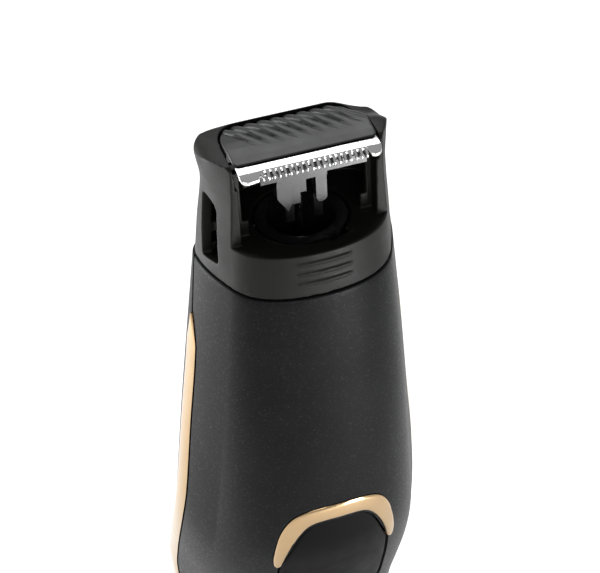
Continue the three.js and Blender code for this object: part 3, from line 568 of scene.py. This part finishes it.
# ---- Camera ----
AZIMUTH, ELEVATION, ROLL = math.radians(15.84), math.radians(39.74), math.radians(3.56)
CAMERA_PLACE = Vector((-67.02, -232.88 - BASE_Y, 185.28 + DECK_Z)) * MM
SENSOR_WIDTH, LENS = 36.0, 107.84
forward = Vector(
    (
        math.sin(AZIMUTH) * math.cos(ELEVATION),
        math.cos(AZIMUTH) * math.cos(ELEVATION),
        -math.sin(ELEVATION),
    )
)
level = Vector((math.cos(AZIMUTH), -math.sin(AZIMUTH), 0))
upward = level.cross(forward)
across = math.cos(ROLL) * level - math.sin(ROLL) * upward
above = math.sin(ROLL) * level + math.cos(ROLL) * upward
camera_data = bpy.data.cameras.new("camera")
camera_data.sensor_width = SENSOR_WIDTH
camera_data.lens = LENS
camera = bpy.data.objects.new("camera", camera_data)
camera.matrix_world = Matrix.Translation(CAMERA_PLACE) @ Matrix(
    (across, above, -forward)
).transposed().to_4x4()
bpy.context.scene.collection.objects.link(camera)
bpy.context.scene.camera = camera


# ---- Handle shells ----
STRIP_TIP = 125.0
STRIP_END = 14.0
STRIP_HALF = (2.9, 1.9)  # half width at the base and at the tip
TIP_TAPER, TIP_POWER = 7.0, 0.75
END_TAPER, END_POWER = 26.0, 0.6
SHELL_FOOT = CAP_TOP + 0.3
EDGE_ROUND = 0.3


def strip_half(z):
    """Half width of the gold side strip: a slim leaf, pointed at its top."""
    rise = min(1.0, max(0.0, (STRIP_TIP - z) / TIP_TAPER)) ** TIP_POWER
    fall = min(1.0, max(0.0, (z - STRIP_END) / END_TAPER)) ** END_POWER
    return np.interp(z, [0, STRIP_TIP], STRIP_HALF) * rise * fall


def parting_u(z, side):
    """Where a shell ends beside the strip: side -1 for the front shell, +1 for the back one."""
    section = handle_at(z)
    return u_at_y(section, section[5] + side * (strip_half(z) + SEAM))


# Rows of the shells, closer together round the strips' tips.
shell_heights = sorted(set(np.linspace(SHELL_FOOT, SEAM_Z, 104)) | set(np.linspace(116.5, 125.5, 22)))


def front_row(z):
    """Points from the left edge of the front shell to its right edge, close at the creases."""
    section, edge = handle_at(z), parting_u(z, -1)
    half = list(np.linspace(0, 0.94, 20)) + list(np.linspace(0.96, 1.06, 6))
    half += list(np.linspace(1.1, edge, 12))
    stations = [-u for u in reversed(half[1:])] + half
    return [(*surface_point(section, u), z) for u in stations]


def back_row(z):
    """Points from the right edge of the back shell round to its left edge."""
    section, edge = handle_at(z), parting_u(z, 1)
    half = list(np.linspace(edge, 3, 34))
    right = [(*surface_point(section, u), z) for u in half]
    left = [(-x, y, h) for x, y, h in reversed(right[:-1])]
    return right + left


def handle_shell(name, row):
    """A shell from a function that gives its row of points at a height."""
    return thicken(grid(name, [row(z) for z in shell_heights]), SHELL_WALL, EDGE_ROUND)


front_shell = handle_shell("handle_front", front_row)
back_shell = handle_shell("handle_back", back_row)

# ---- Arch trim and switch panel ----
ARCH_MIDDLE = 0.4  # how far right of the middle the arch and the panel sit
CROWN_FOOT = 0.25  # height of the band's crown at its edges, as a share
POINT_HALF = 0.06  # half width at the very end of a foot
PANEL_ROUND, PANEL_FALL = 0.6, 0.45  # width and depth of the panel's rounded rim
# Half of the arch from its crown to its foot: x, z, half width of the band.
ARCH = [
    (0, 86.05, 1.85), (3, 85.95, 1.85), (5.6, 85.35, 1.85), (7.6, 83.9, 1.8), (9.2, 81.2, 1.65),
    (10.3, 78, 1.42), (11.0, 75, 1.2), (11.4, 72.4, 1.0), (11.5, 70.9, 0.8),
]
# Half width of the switch panel by height.
PANEL = [
    (30, 2.5), (31, 5), (33, 7.6), (37, 9.9), (43, 11.3), (51, 11.8), (61.5, 11.6), (69.6, 11.2),
    (71, 10.75), (72.6, 10.15), (74.6, 9.45), (76.6, 8.8), (78.9, 7.9), (80.6, 7.1), (82, 6.1),
    (82.9, 5), (83.4, 3.9), (83.6, 3),
]


def through(points, count):
    """Evenly spaced points on a smooth curve through the given ones."""
    points = np.array(points, float)
    padded = np.vstack([2 * points[0] - points[1], points, 2 * points[-1] - points[-2]])
    samples = []
    for k in range(1, len(padded) - 2):
        p0, p1, p2, p3 = padded[k - 1 : k + 3]
        for t in np.linspace(0, 1, 24, endpoint=False):
            samples.append(
                0.5
                * (
                    2 * p1
                    + (p2 - p0) * t
                    + (2 * p0 - 5 * p1 + 4 * p2 - p3) * t**2
                    + (3 * p1 - p0 - 3 * p2 + p3) * t**3
                )
            )
    samples = np.array([*samples, points[-1]])
    length = np.r_[0, np.cumsum(np.hypot(*np.diff(samples[:, :2], axis=0).T))]
    wanted = np.linspace(0, length[-1], count)
    return np.stack([np.interp(wanted, length, column) for column in samples.T], 1)


def on_front(x, z, proud=0.0):
    """A point on the front surface, moved out by proud."""
    section = handle_at(z)
    return np.array([*surface_point(section, u_at_x(section, x), proud), z])


def front_normal(x, z):
    """The direction out of the front surface."""
    step = 0.2
    a = on_front(x + step, z) - on_front(x - step, z)
    b = on_front(x, z + step) - on_front(x, z - step)
    normal = np.cross(a, b)
    return normal / np.linalg.norm(normal)


def arch_body(name, margin, proud, depth):
    """The band as a closed body: a low crown outside, straight sides let into the shell."""
    right = through(ARCH, 46)
    left = right[1:][::-1] * [-1, 1, 1]
    path = np.vstack([left, right])
    path[:, 0] += ARCH_MIDDLE
    rings = []
    ends = []
    for tip, neighbour in ((path[0], path[1]), (path[-1], path[-2])):
        outward = (tip - neighbour)[:2]
        outward /= np.hypot(*outward)
        round_end = []
        for share in (1.0, 0.92, 0.75, 0.5, 0.2):
            half = tip[2] * math.sqrt(1 - share**2) if share < 1 else POINT_HALF
            round_end.append([*(tip[:2] + outward * share * tip[2]), half])
        ends.append(round_end)
    stations = np.array(ends[0] + [list(p) for p in path] + ends[1][::-1])
    for k, (x, z, half) in enumerate(stations):
        before, after = stations[max(k - 1, 0)], stations[min(k + 1, len(stations) - 1)]
        normal = front_normal(x, z)
        along = on_front(after[0], after[1]) - on_front(before[0], before[1])
        along /= np.linalg.norm(along)
        side = np.cross(normal, along)
        middle = on_front(x, z)
        half = half + margin
        ring = []
        for v in np.linspace(-1, 1, 13):
            crown = math.sqrt(max(0.0, 1 - abs(v) ** 3))
            lift = proud * (CROWN_FOOT + (1 - CROWN_FOOT) * crown)
            ring.append(middle + side * half * v + normal * lift)
        ring.append(middle + side * half - normal * depth)
        ring.append(middle - side * half - normal * depth)
        rings.append([tuple(p) for p in ring])
    return tube(name, rings)


def panel_half(z):
    return float(np.interp(z, [p[0] for p in PANEL], [p[1] for p in PANEL]))


panel_heights = sorted(
    set(np.linspace(30, 70, 42)) | set(np.linspace(70, 82, 26)) | set(np.linspace(82, 83.6, 9))
)


def panel_row(z, proud, margin=0.0, rounded=True):
    """Points across the panel, which falls away at its rim where it is rounded."""
    half = panel_half(z) + margin
    top_gap = min(panel_heights[-1] - z, z - panel_heights[0])
    shares = [*np.linspace(0, 0.86, 12), 0.92, 0.95, 0.97, 0.985, 0.995, 1.0]
    row = []
    for share in [-s for s in reversed(shares[1:])] + shares:
        drop = 0.0
        if rounded:
            gap = min((1 - abs(share)) * half, top_gap)
            drop = edge_drop(gap, PANEL_ROUND, PANEL_FALL)
        row.append(tuple(on_front(ARCH_MIDDLE + share * half, z, proud - drop)))
    return row


HOLE_DEPTH = 5.0
GROOVE_GAP = 0.16
hole = grid("hole", [panel_row(z, 1.5, SEAM, False) for z in panel_heights])
combine(front_shell, thicken(hole, HOLE_DEPTH))
combine(front_shell, arch_body("groove", GROOVE_GAP, 1.2, 1.3))
dress(smooth(front_shell), "body_black", "handle", "front_shell")

arch = arch_body("arch_band", 0.0, 0.42, 1.0)
dress(smooth(arch, 50), "trim_gold", "handle", "arch_trim")

# The leaning lower handle's frame: X across, Y inwards, Z up the front.
LEAN_ANGLE = 0.389
LEAN_ORIGIN = Vector((0, -2.9 - BASE_Y, 52)) * MM
LEAN = Matrix.Translation(LEAN_ORIGIN) @ Matrix.Rotation(LEAN_ANGLE, 4, "X")
LENS_RADIUS, LENS_DROP = 1.35, -14.0


def onto_lean(obj):
    """Carries a body drawn in the leaning frame into place."""
    obj.data.transform(Matrix.Translation(Vector((0, BASE_Y * MM, 0))))
    obj.data.transform(LEAN)
    return obj


PANEL_SUNK, PANEL_WALL = 0.2, 1.3
SLOT_HALF_WIDTH, SLOT_HALF_LENGTH = 1.6, 4.8
panel = grid("panel", [panel_row(z, -PANEL_SUNK) for z in panel_heights])
thicken(panel, PANEL_WALL)
slot_across = (-SLOT_HALF_WIDTH, SLOT_HALF_WIDTH)
slot_along = (-SLOT_HALF_LENGTH, SLOT_HALF_LENGTH)
combine(panel, onto_lean(block("slot", slot_across, (-3, 6), slot_along)))
lens_hole = prism_y("lens_hole", circle(LENS_RADIUS, 0, LENS_DROP, 32), -4, 6)
combine(panel, onto_lean(lens_hole))
dress(smooth(panel), "inner_black", "handle", "switch_panel")
# The panel is duller than the other parts of its slot.
panel.data.materials[0] = plastic("panel_black", (0.0035, 0.0035, 0.0037), 0.45, 0.03, 0.25)

THUMB_HALF = 4.4
slider_outline = curve(
    (THUMB_HALF, -6),
    (THUMB_HALF, 1),
    ((0, 3.4), (-THUMB_HALF, 1)),
    (-THUMB_HALF, -6),
    ((0, -8.4), (THUMB_HALF, -6)),
)
slider = onto_lean(soften(prism_y("thumb", slider_outline, -2.3, -0.4), 0.45, 4, 50))
# Three grip ribs across the thumb, then the stem that goes through the slot to the switch.
for height in (-4.5, -2.5, -0.5):
    rib = block("thumb_rib", (-3.2, 3.2), (-2.8, -1.5), (height - 0.45, height + 0.45))
    combine(slider, onto_lean(soften(rib, 0.3, 4, 50)), "UNION")
combine(slider, onto_lean(block("stem", (-1.2, 1.2), (-1, 5), (-4.3, -0.7))), "UNION")
dress(smooth(slider), "head_black", "switch", "switch_slider")

# Screw wells in the back shell.
SCREW_X = 15.0
WELL_RADIUS = 2.1
WELL_DEPTH = 7.2
BACK_FALL = 0.55  # how much of the back's depth is lost at the widest line
for height in (106.0, 24.0):
    _, _, _, half, wide, _, back = handle_at(height)
    surface = back - BACK_FALL * (back - wide) * (SCREW_X / half) ** 3
    for x in (-SCREW_X, SCREW_X):
        outline = circle(WELL_RADIUS, x, height, 40)
        combine(back_shell, prism_y("well", outline, surface - WELL_DEPTH, REACH))
dress(smooth(back_shell), "body_black", "handle", "back_shell")


# ---- Side strips ----
STRIP_PROUD, STRIP_CROWN = 0.12, 0.3
STRIP_WALL = 1.4


def side_strip(name, side):
    """A slightly crowned strip on the parting line: side -1 is left, +1 is right."""
    rows = []
    for z in np.linspace(STRIP_END + 0.1, STRIP_TIP - 0.1, 150):
        section, half = handle_at(z), max(strip_half(z), 0.05)
        row = []
        for v in np.linspace(-1, 1, 13):
            crown = STRIP_PROUD + STRIP_CROWN * (1 - abs(v) ** 2.5)
            u = side * u_at_y(section, section[5] + v * half)
            row.append((*surface_point(section, u, crown), z))
        rows.append(row[::side])
    return dress(smooth(thicken(grid(name, rows), STRIP_WALL), 50), "trim_gold", "handle")


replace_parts(side_strip("strip_left", -1), "side_trim_left")
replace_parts(side_strip("strip_right", 1), "side_trim_right")


# ---- Bottom cap ----
def closed_ring(section, inset, z, count=26):
    """A whole section, moved in by inset."""
    half = [
        *np.linspace(0, 1, count, endpoint=False),
        *np.linspace(1, 2, count // 2, endpoint=False),
        *np.linspace(2, 3, count),
    ]
    right = [(*surface_point(section, u, -inset), z) for u in half]
    left = [(-x, y, h) for x, y, h in reversed(right[1:-1])]
    return right + left


RIM_RISE, RIM_INSET = 2.0, 1.6  # how the base's lower rim is rounded
SPIGOT_INSET, SPIGOT_TOP = 2.6, 8.9  # the collar that goes up into the shells
CAP_WALL, CAP_FLOOR = 4.2, 2.6
SOCKET_Y = 35.0
SOCKET_RADIUS, SOCKET_WALL = 3.9, 1.4
cap_rings = []
for turn in np.linspace(0.02, math.pi / 2, 9):
    z = RIM_RISE * (1 - math.cos(turn))
    cap_rings.append(closed_ring(handle_at(z), RIM_INSET * (1 - math.sin(turn)), z))
for z in (3, 4, 5, 5.7):
    cap_rings.append(closed_ring(handle_at(z), 0, z))
cap_rings.append(closed_ring(handle_at(CAP_TOP), 0.08, CAP_TOP - 0.08))
cap_rings.append(closed_ring(handle_at(CAP_TOP), 0.3, CAP_TOP))
for z in (CAP_TOP + 0.02, SPIGOT_TOP):
    cap_rings.append(closed_ring(handle_at(z), SPIGOT_INSET, z))
cap = tube("base_cap", cap_rings)
combine(cap, tube("cap_hollow", [closed_ring(handle_at(z), CAP_WALL, z) for z in (CAP_FLOOR, 12)]))
combine(cap, rod("well_wall", SOCKET_RADIUS + SOCKET_WALL, 0.5, 8, 0, SOCKET_Y), "UNION")
combine(cap, rod("socket_hole", SOCKET_RADIUS, -2, 14, 0, SOCKET_Y))
dress(smooth(cap), "head_black", "handle", "bottom_cap")


# ---- Head frame ----
def head_loft(name, low, high, levels, inset=0.0):
    """The head's sections between two heights, moved in by inset."""
    return tube(name, [closed_ring(head_at(z), inset, z) for z in np.linspace(low, high, levels)])


PAD_FRONT = -5.5
PAD_BACK = 7.6
SINK_LEFT, SINK_RIGHT = 0.3, 2.3


def ease(value):
    """A smooth step from 0 to 1."""
    value = min(1.0, max(0.0, value))
    return value * value * (3 - 2 * value)


def rounded_corner(x, y, z):
    """How far the top has sunk towards its rear corners, the right one more than the left."""
    depth = SINK_RIGHT if x > 0 else SINK_LEFT
    return depth * ease((abs(x) - 7.5) / 7) * ease((y + 1) / 7) * ease((z - DECK_Z - 10) / 4)


def sink_corners(obj):
    for vert in obj.data.vertices:
        x, y, z = vert.co.x / MM, vert.co.y / MM + BASE_Y, vert.co.z / MM
        vert.co.z -= rounded_corner(x, y, z) * MM
    return obj


PAD_EDGE = curve(
    (11.5, PAD_FRONT),
    ((12.3, PAD_FRONT + 0.1), (12.35, -4.2)),
    (12.35, 0.5),
    ((12.3, 7.4), (8, PAD_BACK)),
    count=24,
)


def pad_half(y):
    """Half width of the guard pad at a depth, from its straight front edge to its rounded back."""
    return float(np.interp(y, [p[1] for p in PAD_EDGE], [p[0] for p in PAD_EDGE]))


def pad_ring(grow):
    """The pad's plan outline with a gap round it, left open to the front."""
    right = [(pad_half(y) + grow, y) for y in np.linspace(-4.7, 7.0, 28)]
    right += [(pad_half(y) + grow * 0.7, y + grow * 0.7) for y in (7.3, 7.5, PAD_BACK)]
    right[0] = (right[0][0], PAD_FRONT - 1)
    return right + [(-x, y) for x, y in reversed(right)]


# The head from the side: it ends above the handle, its deck is open in front of the window and
# its top falls towards the back.
side_view = curve(
    (-REACH, SEAM_Z + 0.4),
    (REACH, SEAM_Z + 0.4),
    (REACH, DECK_Z + 10),
    (9.7, DECK_Z + 11),
    ((9.6, DECK_Z + 15.6), (6.9, DECK_Z + 15.95)),
    ((0.8, DECK_Z + 16.8), (-4.6, DECK_Z + 16.3)),
    (-5.6, DECK_Z + 15.6),
    (-4.95, DECK_Z),
    (-REACH, DECK_Z),
)
# The head from the front: only its two upper corners are rounded.
front_view = curve(
    (-REACH, SEAM_Z - 3),
    (REACH, SEAM_Z - 3),
    (REACH, DECK_Z + 13.6),
    (16.8, DECK_Z + 13.6),
    ((16.5, DECK_Z + 16.2), (12.6, DECK_Z + 16.3)),
    (12.6, DECK_Z + 20),
    (-12.6, DECK_Z + 20),
    (-12.6, DECK_Z + 16.3),
    ((-16.5, DECK_Z + 16.2), (-16.8, DECK_Z + 13.6)),
    (-REACH, DECK_Z + 13.6),
)
# The upright slot in each side of the head.
slot_view = curve(
    (-0.9, DECK_Z - 5.6),
    (2.6, DECK_Z - 6.2),
    ((3.2, DECK_Z - 6.2), (3.2, DECK_Z - 5.4)),
    (2.9, DECK_Z + 6.4),
    ((2.8, DECK_Z + 7.4), (1.6, DECK_Z + 7.4)),
    ((-1.5, DECK_Z + 7.2), (-1.5, DECK_Z + 5)),
    (-1.5, DECK_Z - 4.8),
    ((-1.5, DECK_Z - 5.6), (-0.9, DECK_Z - 5.6)),
)
NOTCH = math.radians(-62)
WINDOW_TOP = 159.6
WINDOW_HALF, POCKET_HALF = 11.9, 12.35
HEAD_BORE = 8.5
PAD_GAP = 0.28
RECESS_FLOOR = 161.3
PAD_SCREW_X, PAD_SCREW_Y = 7.5, 3.4


def turn_notch(obj):
    """Turns a body from the +X side to where the deck's notch is."""
    to_base = Matrix.Translation((0, -BASE_Y * MM, 0))
    to_shaft = Matrix.Translation((0, BASE_Y * MM, 0))
    obj.data.transform(to_base @ Matrix.Rotation(NOTCH, 4, "Z") @ to_shaft)
    return obj


head = head_loft("head_shell", SEAM_Z - 1, DECK_Z + 17, 20)
combine(head, prism_x("side", side_view, -REACH, REACH), "INTERSECT")
combine(head, prism_y("front", front_view, -REACH, REACH), "INTERSECT")
combine(head, head_loft("skirt", SEAM_Z - 2, DECK_Z - 2, 6, HEAD_WALL))
cavity = head_loft("cavity", DECK_Z, WINDOW_TOP, 8, HEAD_WALL)
behind = block("behind", (-REACH, REACH), (-2.6, REACH), (DECK_Z - 1, WINDOW_TOP + 1))
combine(cavity, behind, "INTERSECT")
combine(head, cavity)
combine(head, block("window", (-WINDOW_HALF, WINDOW_HALF), (-REACH, -2), (DECK_Z, WINDOW_TOP)))
pocket = block("pocket", (-POCKET_HALF, POCKET_HALF), (-REACH, -1.6), (WINDOW_TOP - 1, DECK_Z + 20))
combine(head, pocket)
combine(head, prism_z("recess", pad_ring(PAD_GAP), RECESS_FLOOR, DECK_Z + 20))
combine(head, rod("bore", HEAD_BORE, DECK_Z - 4, DECK_Z + 1))
combine(head, turn_notch(block("notch", (7.5, 9.3), (-2, 2), (DECK_Z - 3, DECK_Z + 1))))
for low, high in ((-REACH, -14.2), (14.2, REACH)):
    combine(head, prism_x("slot", slot_view, low, high))
# Ribs inside the window's sides: nearest and furthest X, depth and height.
for side in (-1, 1):
    for near, far, y, z in (
        (10.9, 13.5, (-2.6, -1.3), (DECK_Z - 0.5, WINDOW_TOP + 0.5)),
        (9.8, 13.5, (-2.6, -1.9), (DECK_Z - 0.5, DECK_Z + 3)),
        (9.6, 10.3, (-2.4, 1.5), (WINDOW_TOP - 3, WINDOW_TOP + 0.5)),
    ):
        combine(head, block("rib", sorted((near * side, far * side)), y, z), "UNION")
for x in (-PAD_SCREW_X, PAD_SCREW_X):
    combine(head, rod("screw_hole", 1.2, WINDOW_TOP - 1, 163, x, PAD_SCREW_Y, 24))
# Three grip ridges under the deck, each fading at its ends.
RIDGE_MIDDLE, RIDGE_HALF = 0.4, 5.05
for drop in (1.7, 3.75, 5.8):
    rings = []
    for x in np.linspace(-4.6, 5.4, 24):
        section = head_at(DECK_Z - drop)
        y = surface_point(section, u_at_x(section, x))[1]
        fade = math.sqrt(max(0.02, 1 - ((x - RIDGE_MIDDLE) / RIDGE_HALF) ** 8))
        loop = circle(fade, sides=16)
        rings.append([(x, y + 0.15 + 0.5 * b, DECK_Z - drop + 0.42 * a) for a, b in loop])
    combine(head, tube("ridge", rings), "UNION")
sink_corners(melt(head, voxel=0.16, rounds=5, keep=0.4))
dress(head, "head_black", "head", "head_frame")


# ---- Neck ring ----
NECK_RADIUS, NECK_BORE = 7.9, 6.0
neck = rod("neck_ring", NECK_RADIUS, SEAM_Z - 2, DECK_Z - 0.3)
flange_heights = (SEAM_Z - 3.3, SEAM_Z - 0.5)
combine(neck, tube("flange", [closed_ring(handle_at(z), 2.5, z) for z in flange_heights]), "UNION")
combine(neck, rod("neck_bore", NECK_BORE, SEAM_Z - 6, DECK_Z + 2))
combine(neck, turn_notch(block("keyway", (6.6, 9.3), (-1.2, 1.2), (DECK_Z - 3.3, DECK_Z + 1))))
soften(neck, 0.3, 4, 50)
dress(smooth(neck, 40), "inner_black", "handle", "neck_spigot")


# ---- Guard pad ----
RIBS = 10
RIB_PITCH = 2.3
RIB_DEPTH = 1.3
RIB_SHIFT = 0.6
PAD_ROUND = 0.5
PAD_FLOOR = 161.62
# The pad's crest above the deck by depth.
CREST_Y = [-5.5, -3.6, -1.4, 0.8, 3, 5, 6.6, 7.6]
CREST_Z = [16.55, 16.85, 17.0, 16.95, 16.7, 16.15, 15.45, 14.9]


def pad_height(x, y):
    """Height of the pad's top: a low crest with slanting round ribs that grow towards the back."""
    behind = PAD_BACK - y
    slant = 0.3 * behind + 0.025 * behind**2
    phase = (x + RIB_SHIFT - slant) / RIB_PITCH + 0.5 * RIBS
    share = 2 * (phase % 1) - 1
    lobe = math.sqrt(max(0.0, 1 - share**2))
    grow = min(1.0, max(0.0, (y + 2.2) / 5.5)) ** 0.9
    grow *= 1 - 0.6 * ease((x - 8) / 4)
    relief = RIB_DEPTH * grow * (lobe - 1) if 0 <= phase <= RIBS else -0.4 * grow
    return DECK_Z + float(np.interp(y, CREST_Y, CREST_Z)) + 0.3 * grow + relief


def guard_pad():
    """The pad as a closed body: a fine sheet for its top, a flat floor and a wall round the rim."""
    shares = np.linspace(-1, 1, 200)
    rows = []
    depths = [*np.linspace(PAD_FRONT, -4.2, 12), *np.linspace(-4, 7.1, 62), *np.linspace(7.2, PAD_BACK, 6)]
    for y in depths:
        row = []
        for share in shares:
            x = share * pad_half(y)
            gap = min((1 - abs(share)) * pad_half(y), y - PAD_FRONT + 0.15, 1.2 * (PAD_BACK - y))
            top = pad_height(x, y) - edge_drop(gap, PAD_ROUND, PAD_ROUND)
            row.append((x, y, top - rounded_corner(x, y, top)))
        rows.append(row)
    count = len(shares)
    points = [p for row in rows for p in row] + [(x, y, PAD_FLOOR) for row in rows for x, y, _ in row]
    shift = len(rows) * count
    faces = []
    for r in range(len(rows) - 1):
        for c in range(count - 1):
            a = r * count + c
            faces.append((a, a + 1, a + 1 + count, a + count))
            faces.append((a + shift, a + count + shift, a + 1 + count + shift, a + 1 + shift))
    rim = [r * count for r in range(len(rows))]
    rim += [(len(rows) - 1) * count + c for c in range(1, count)]
    rim += [r * count + count - 1 for r in range(len(rows) - 2, -1, -1)]
    rim += list(range(count - 2, 0, -1))
    for a, b in zip(rim, rim[1:] + rim[:1]):
        faces.append((a, b, b + shift, a + shift))
    return new_mesh("pad", points, faces)


pad = guard_pad()
combine(pad, block("blade_room", (-REACH, REACH), (-REACH, -1.3), (150, DECK_Z + 16.45)))
dress(smooth(pad, 60), "pad_grey", "head", "guard_pad")


SCREW_HEAD, SCREW_SHANK = 1.9, 0.8  # radii
for side, name in ((-1, "left"), (1, "right")):
    place = (PAD_SCREW_X * side, PAD_SCREW_Y)
    screw = rod("pad_screw", SCREW_HEAD, WINDOW_TOP - 1.3, WINDOW_TOP - 0.3, *place)
    combine(screw, rod("shank", SCREW_SHANK, WINDOW_TOP - 0.5, DECK_Z + 14.6, *place), "UNION")
    combine(screw, rod("recess", SCREW_SHANK, WINDOW_TOP - 2, WINDOW_TOP - 0.8, *place, 6))
    screw.name = "screw_" + name
    dress(smooth(soften(screw, 0.12, 2, 50)), "dark_steel", "head", "pad_screw_" + name)


# ---- Blades ----
TOOTH_WAIST, TOOTH_TIP = 2.3, 4.0  # a tooth's half width is its width over these
CORNER = 1.9  # from the teeth's roots back to where a plate's sides begin
LAND = 0.75  # plain edge beside the first and the last tooth


def toothed(name, half, back, front, first, pitch, count, root, tip, width, low, high, ends):
    """A ground plate with a row of tapered teeth along its front edge.

    first is the middle of the first tooth, root and tip are where a tooth starts and ends, and
    ends is the radius of the plate's front corners."""
    edge = front + 0.1 * ends
    middle = (root + tip) / 2
    shape = curve((half - 0.6, back), (0.6 - half, back), (-half, root + CORNER), (-half, front + ends))
    if ends:
        shape = curve(*shape, ((-half, front), (-half + ends, front)))
    shape.append((first - LAND, edge))
    for k in range(count):
        x = first + k * pitch
        tooth = [(width / 2, root), (width / TOOTH_WAIST, middle), (width / TOOTH_TIP, tip)]
        shape += [(x - across, y) for across, y in tooth]
        shape += [(x + across, y) for across, y in reversed(tooth)]
    shape.append((first + (count - 1) * pitch + LAND, edge))
    if ends:
        shape = curve(*shape, (half - ends, front), ((half, front), (half, front + ends)))
    else:
        shape.append((half, front))
    shape.append((half, root + CORNER))
    return prism_z(name, shape, low, high)


BEND = 0.35  # length of the finer strip where a bend begins


def droop(obj, start, slope):
    """Bends a plate down in front of a line, to a slope that it nears further out."""
    mesh = bmesh.new()
    mesh.from_mesh(obj.data)
    for line in (start, start - BEND):
        everything = [*mesh.verts, *mesh.edges, *mesh.faces]
        place = (0, (line - BASE_Y) * MM, 0)
        bmesh.ops.bisect_plane(mesh, geom=everything, plane_co=place, plane_no=(0, 1, 0))
    for vert in mesh.verts:
        ahead = start - (vert.co.y / MM + BASE_Y)
        if ahead > 0:
            vert.co.z -= slope * MM * ahead**2 / (ahead + 0.5)
    mesh.to_mesh(obj.data)
    mesh.free()
    return obj


fixed = toothed(
    "blade_fixed",
    half=12.1, back=-1.9, front=-8.7, ends=1.3,
    first=-8.2, pitch=0.925, count=20,
    root=-7.5, tip=-8.65, width=0.52,
    low=DECK_Z + 15.6, high=DECK_Z + 16.2,
)
soften(fixed, 0.09, 2, 30)
droop(fixed, -7.2, 0.85)
dress(smooth(fixed, 40), "blade_steel", "head", "fixed_blade")

moving = toothed(
    "blade_moving",
    half=11.3, back=-2.2, front=-7.5, ends=0,
    first=-6.8, pitch=1.475, count=13,
    root=-7.2, tip=-8.1, width=0.85,
    low=DECK_Z + 14.9, high=DECK_Z + 15.4,
)
soften(moving, 0.08, 2, 30)
droop(moving, -7.0, 0.75)
dress(smooth(moving, 40), "blade_steel", "cutter", "moving_blade")
# The moving blade is in the shade of the fixed one and takes a darker steel.
moving.data.materials[0] = metal("shaded_steel", (0.16, 0.16, 0.16), 0.3, FLAT_BRUSH, 0.05)


# ---- Carried-over CAD nodes ----
for part in frame["record"]["subparts"]:
    node = nodes[part["node"]]
    if node.hide_render:
        continue
    node.data.materials.clear()
    node.data.materials.append(finishes[part["material_slot"]])
    smooth(node, 30)

# ---- Floor and light ----
FLOOR_HALF = 4.0  # metres
floor_corners = [(-1, -1), (1, -1), (1, 1), (-1, 1)]
floor_mesh = bpy.data.meshes.new("floor")
floor_mesh.from_pydata([(x * FLOOR_HALF, y * FLOOR_HALF, 0) for x, y in floor_corners], [], [(0, 1, 2, 3)])
floor = bpy.data.objects.new("floor", floor_mesh)
bpy.context.scene.collection.objects.link(floor)
ground = Paint("floor")
ground.set(Base_Color=ground.ramp(ground.noise(3.0), [(0.3, 0.93), (0.7, 0.95)]), Roughness=0.9)
floor_mesh.materials.append(ground.material)

bpy.context.scene.view_settings.view_transform = "Standard"
world = bpy.data.worlds.new("studio")
bpy.context.scene.world = world
world.use_nodes = True
sky = world.node_tree.nodes["Background"]
sky.inputs["Color"].default_value = (1, 1, 1, 1)
sky.inputs["Strength"].default_value = 0.4


MIDDLE = (0, -0.02, 0.11)  # where every lamp points, in metres


def softbox(name, place, size, power):
    """A rectangular lamp aimed at the middle of the trimmer, in metres and watts."""
    data = bpy.data.lights.new(name, "AREA")
    data.shape = "RECTANGLE"
    data.size, data.size_y = size
    data.energy = power
    lamp = bpy.data.objects.new(name, data)
    lamp.location = place
    lamp.rotation_euler = (Vector(MIDDLE) - Vector(place)).to_track_quat("-Z", "Y").to_euler()
    bpy.context.scene.collection.objects.link(lamp)


# Place, size and power of each lamp.
softbox("key", (-0.5, 0.42, 0.22), (0.15, 0.5), 3.2)
softbox("top", (0.1, 0.9, 1.3), (1.6, 1.0), 21.0)
softbox("right", (0.11, -0.24, 0.05), (0.08, 0.12), 0.8)
softbox("left", (-0.24, 0.12, 0.05), (0.12, 0.12), 0.5)
softbox("fill", (-0.15, -0.7, 0.42), (0.4, 0.4), 2.0)
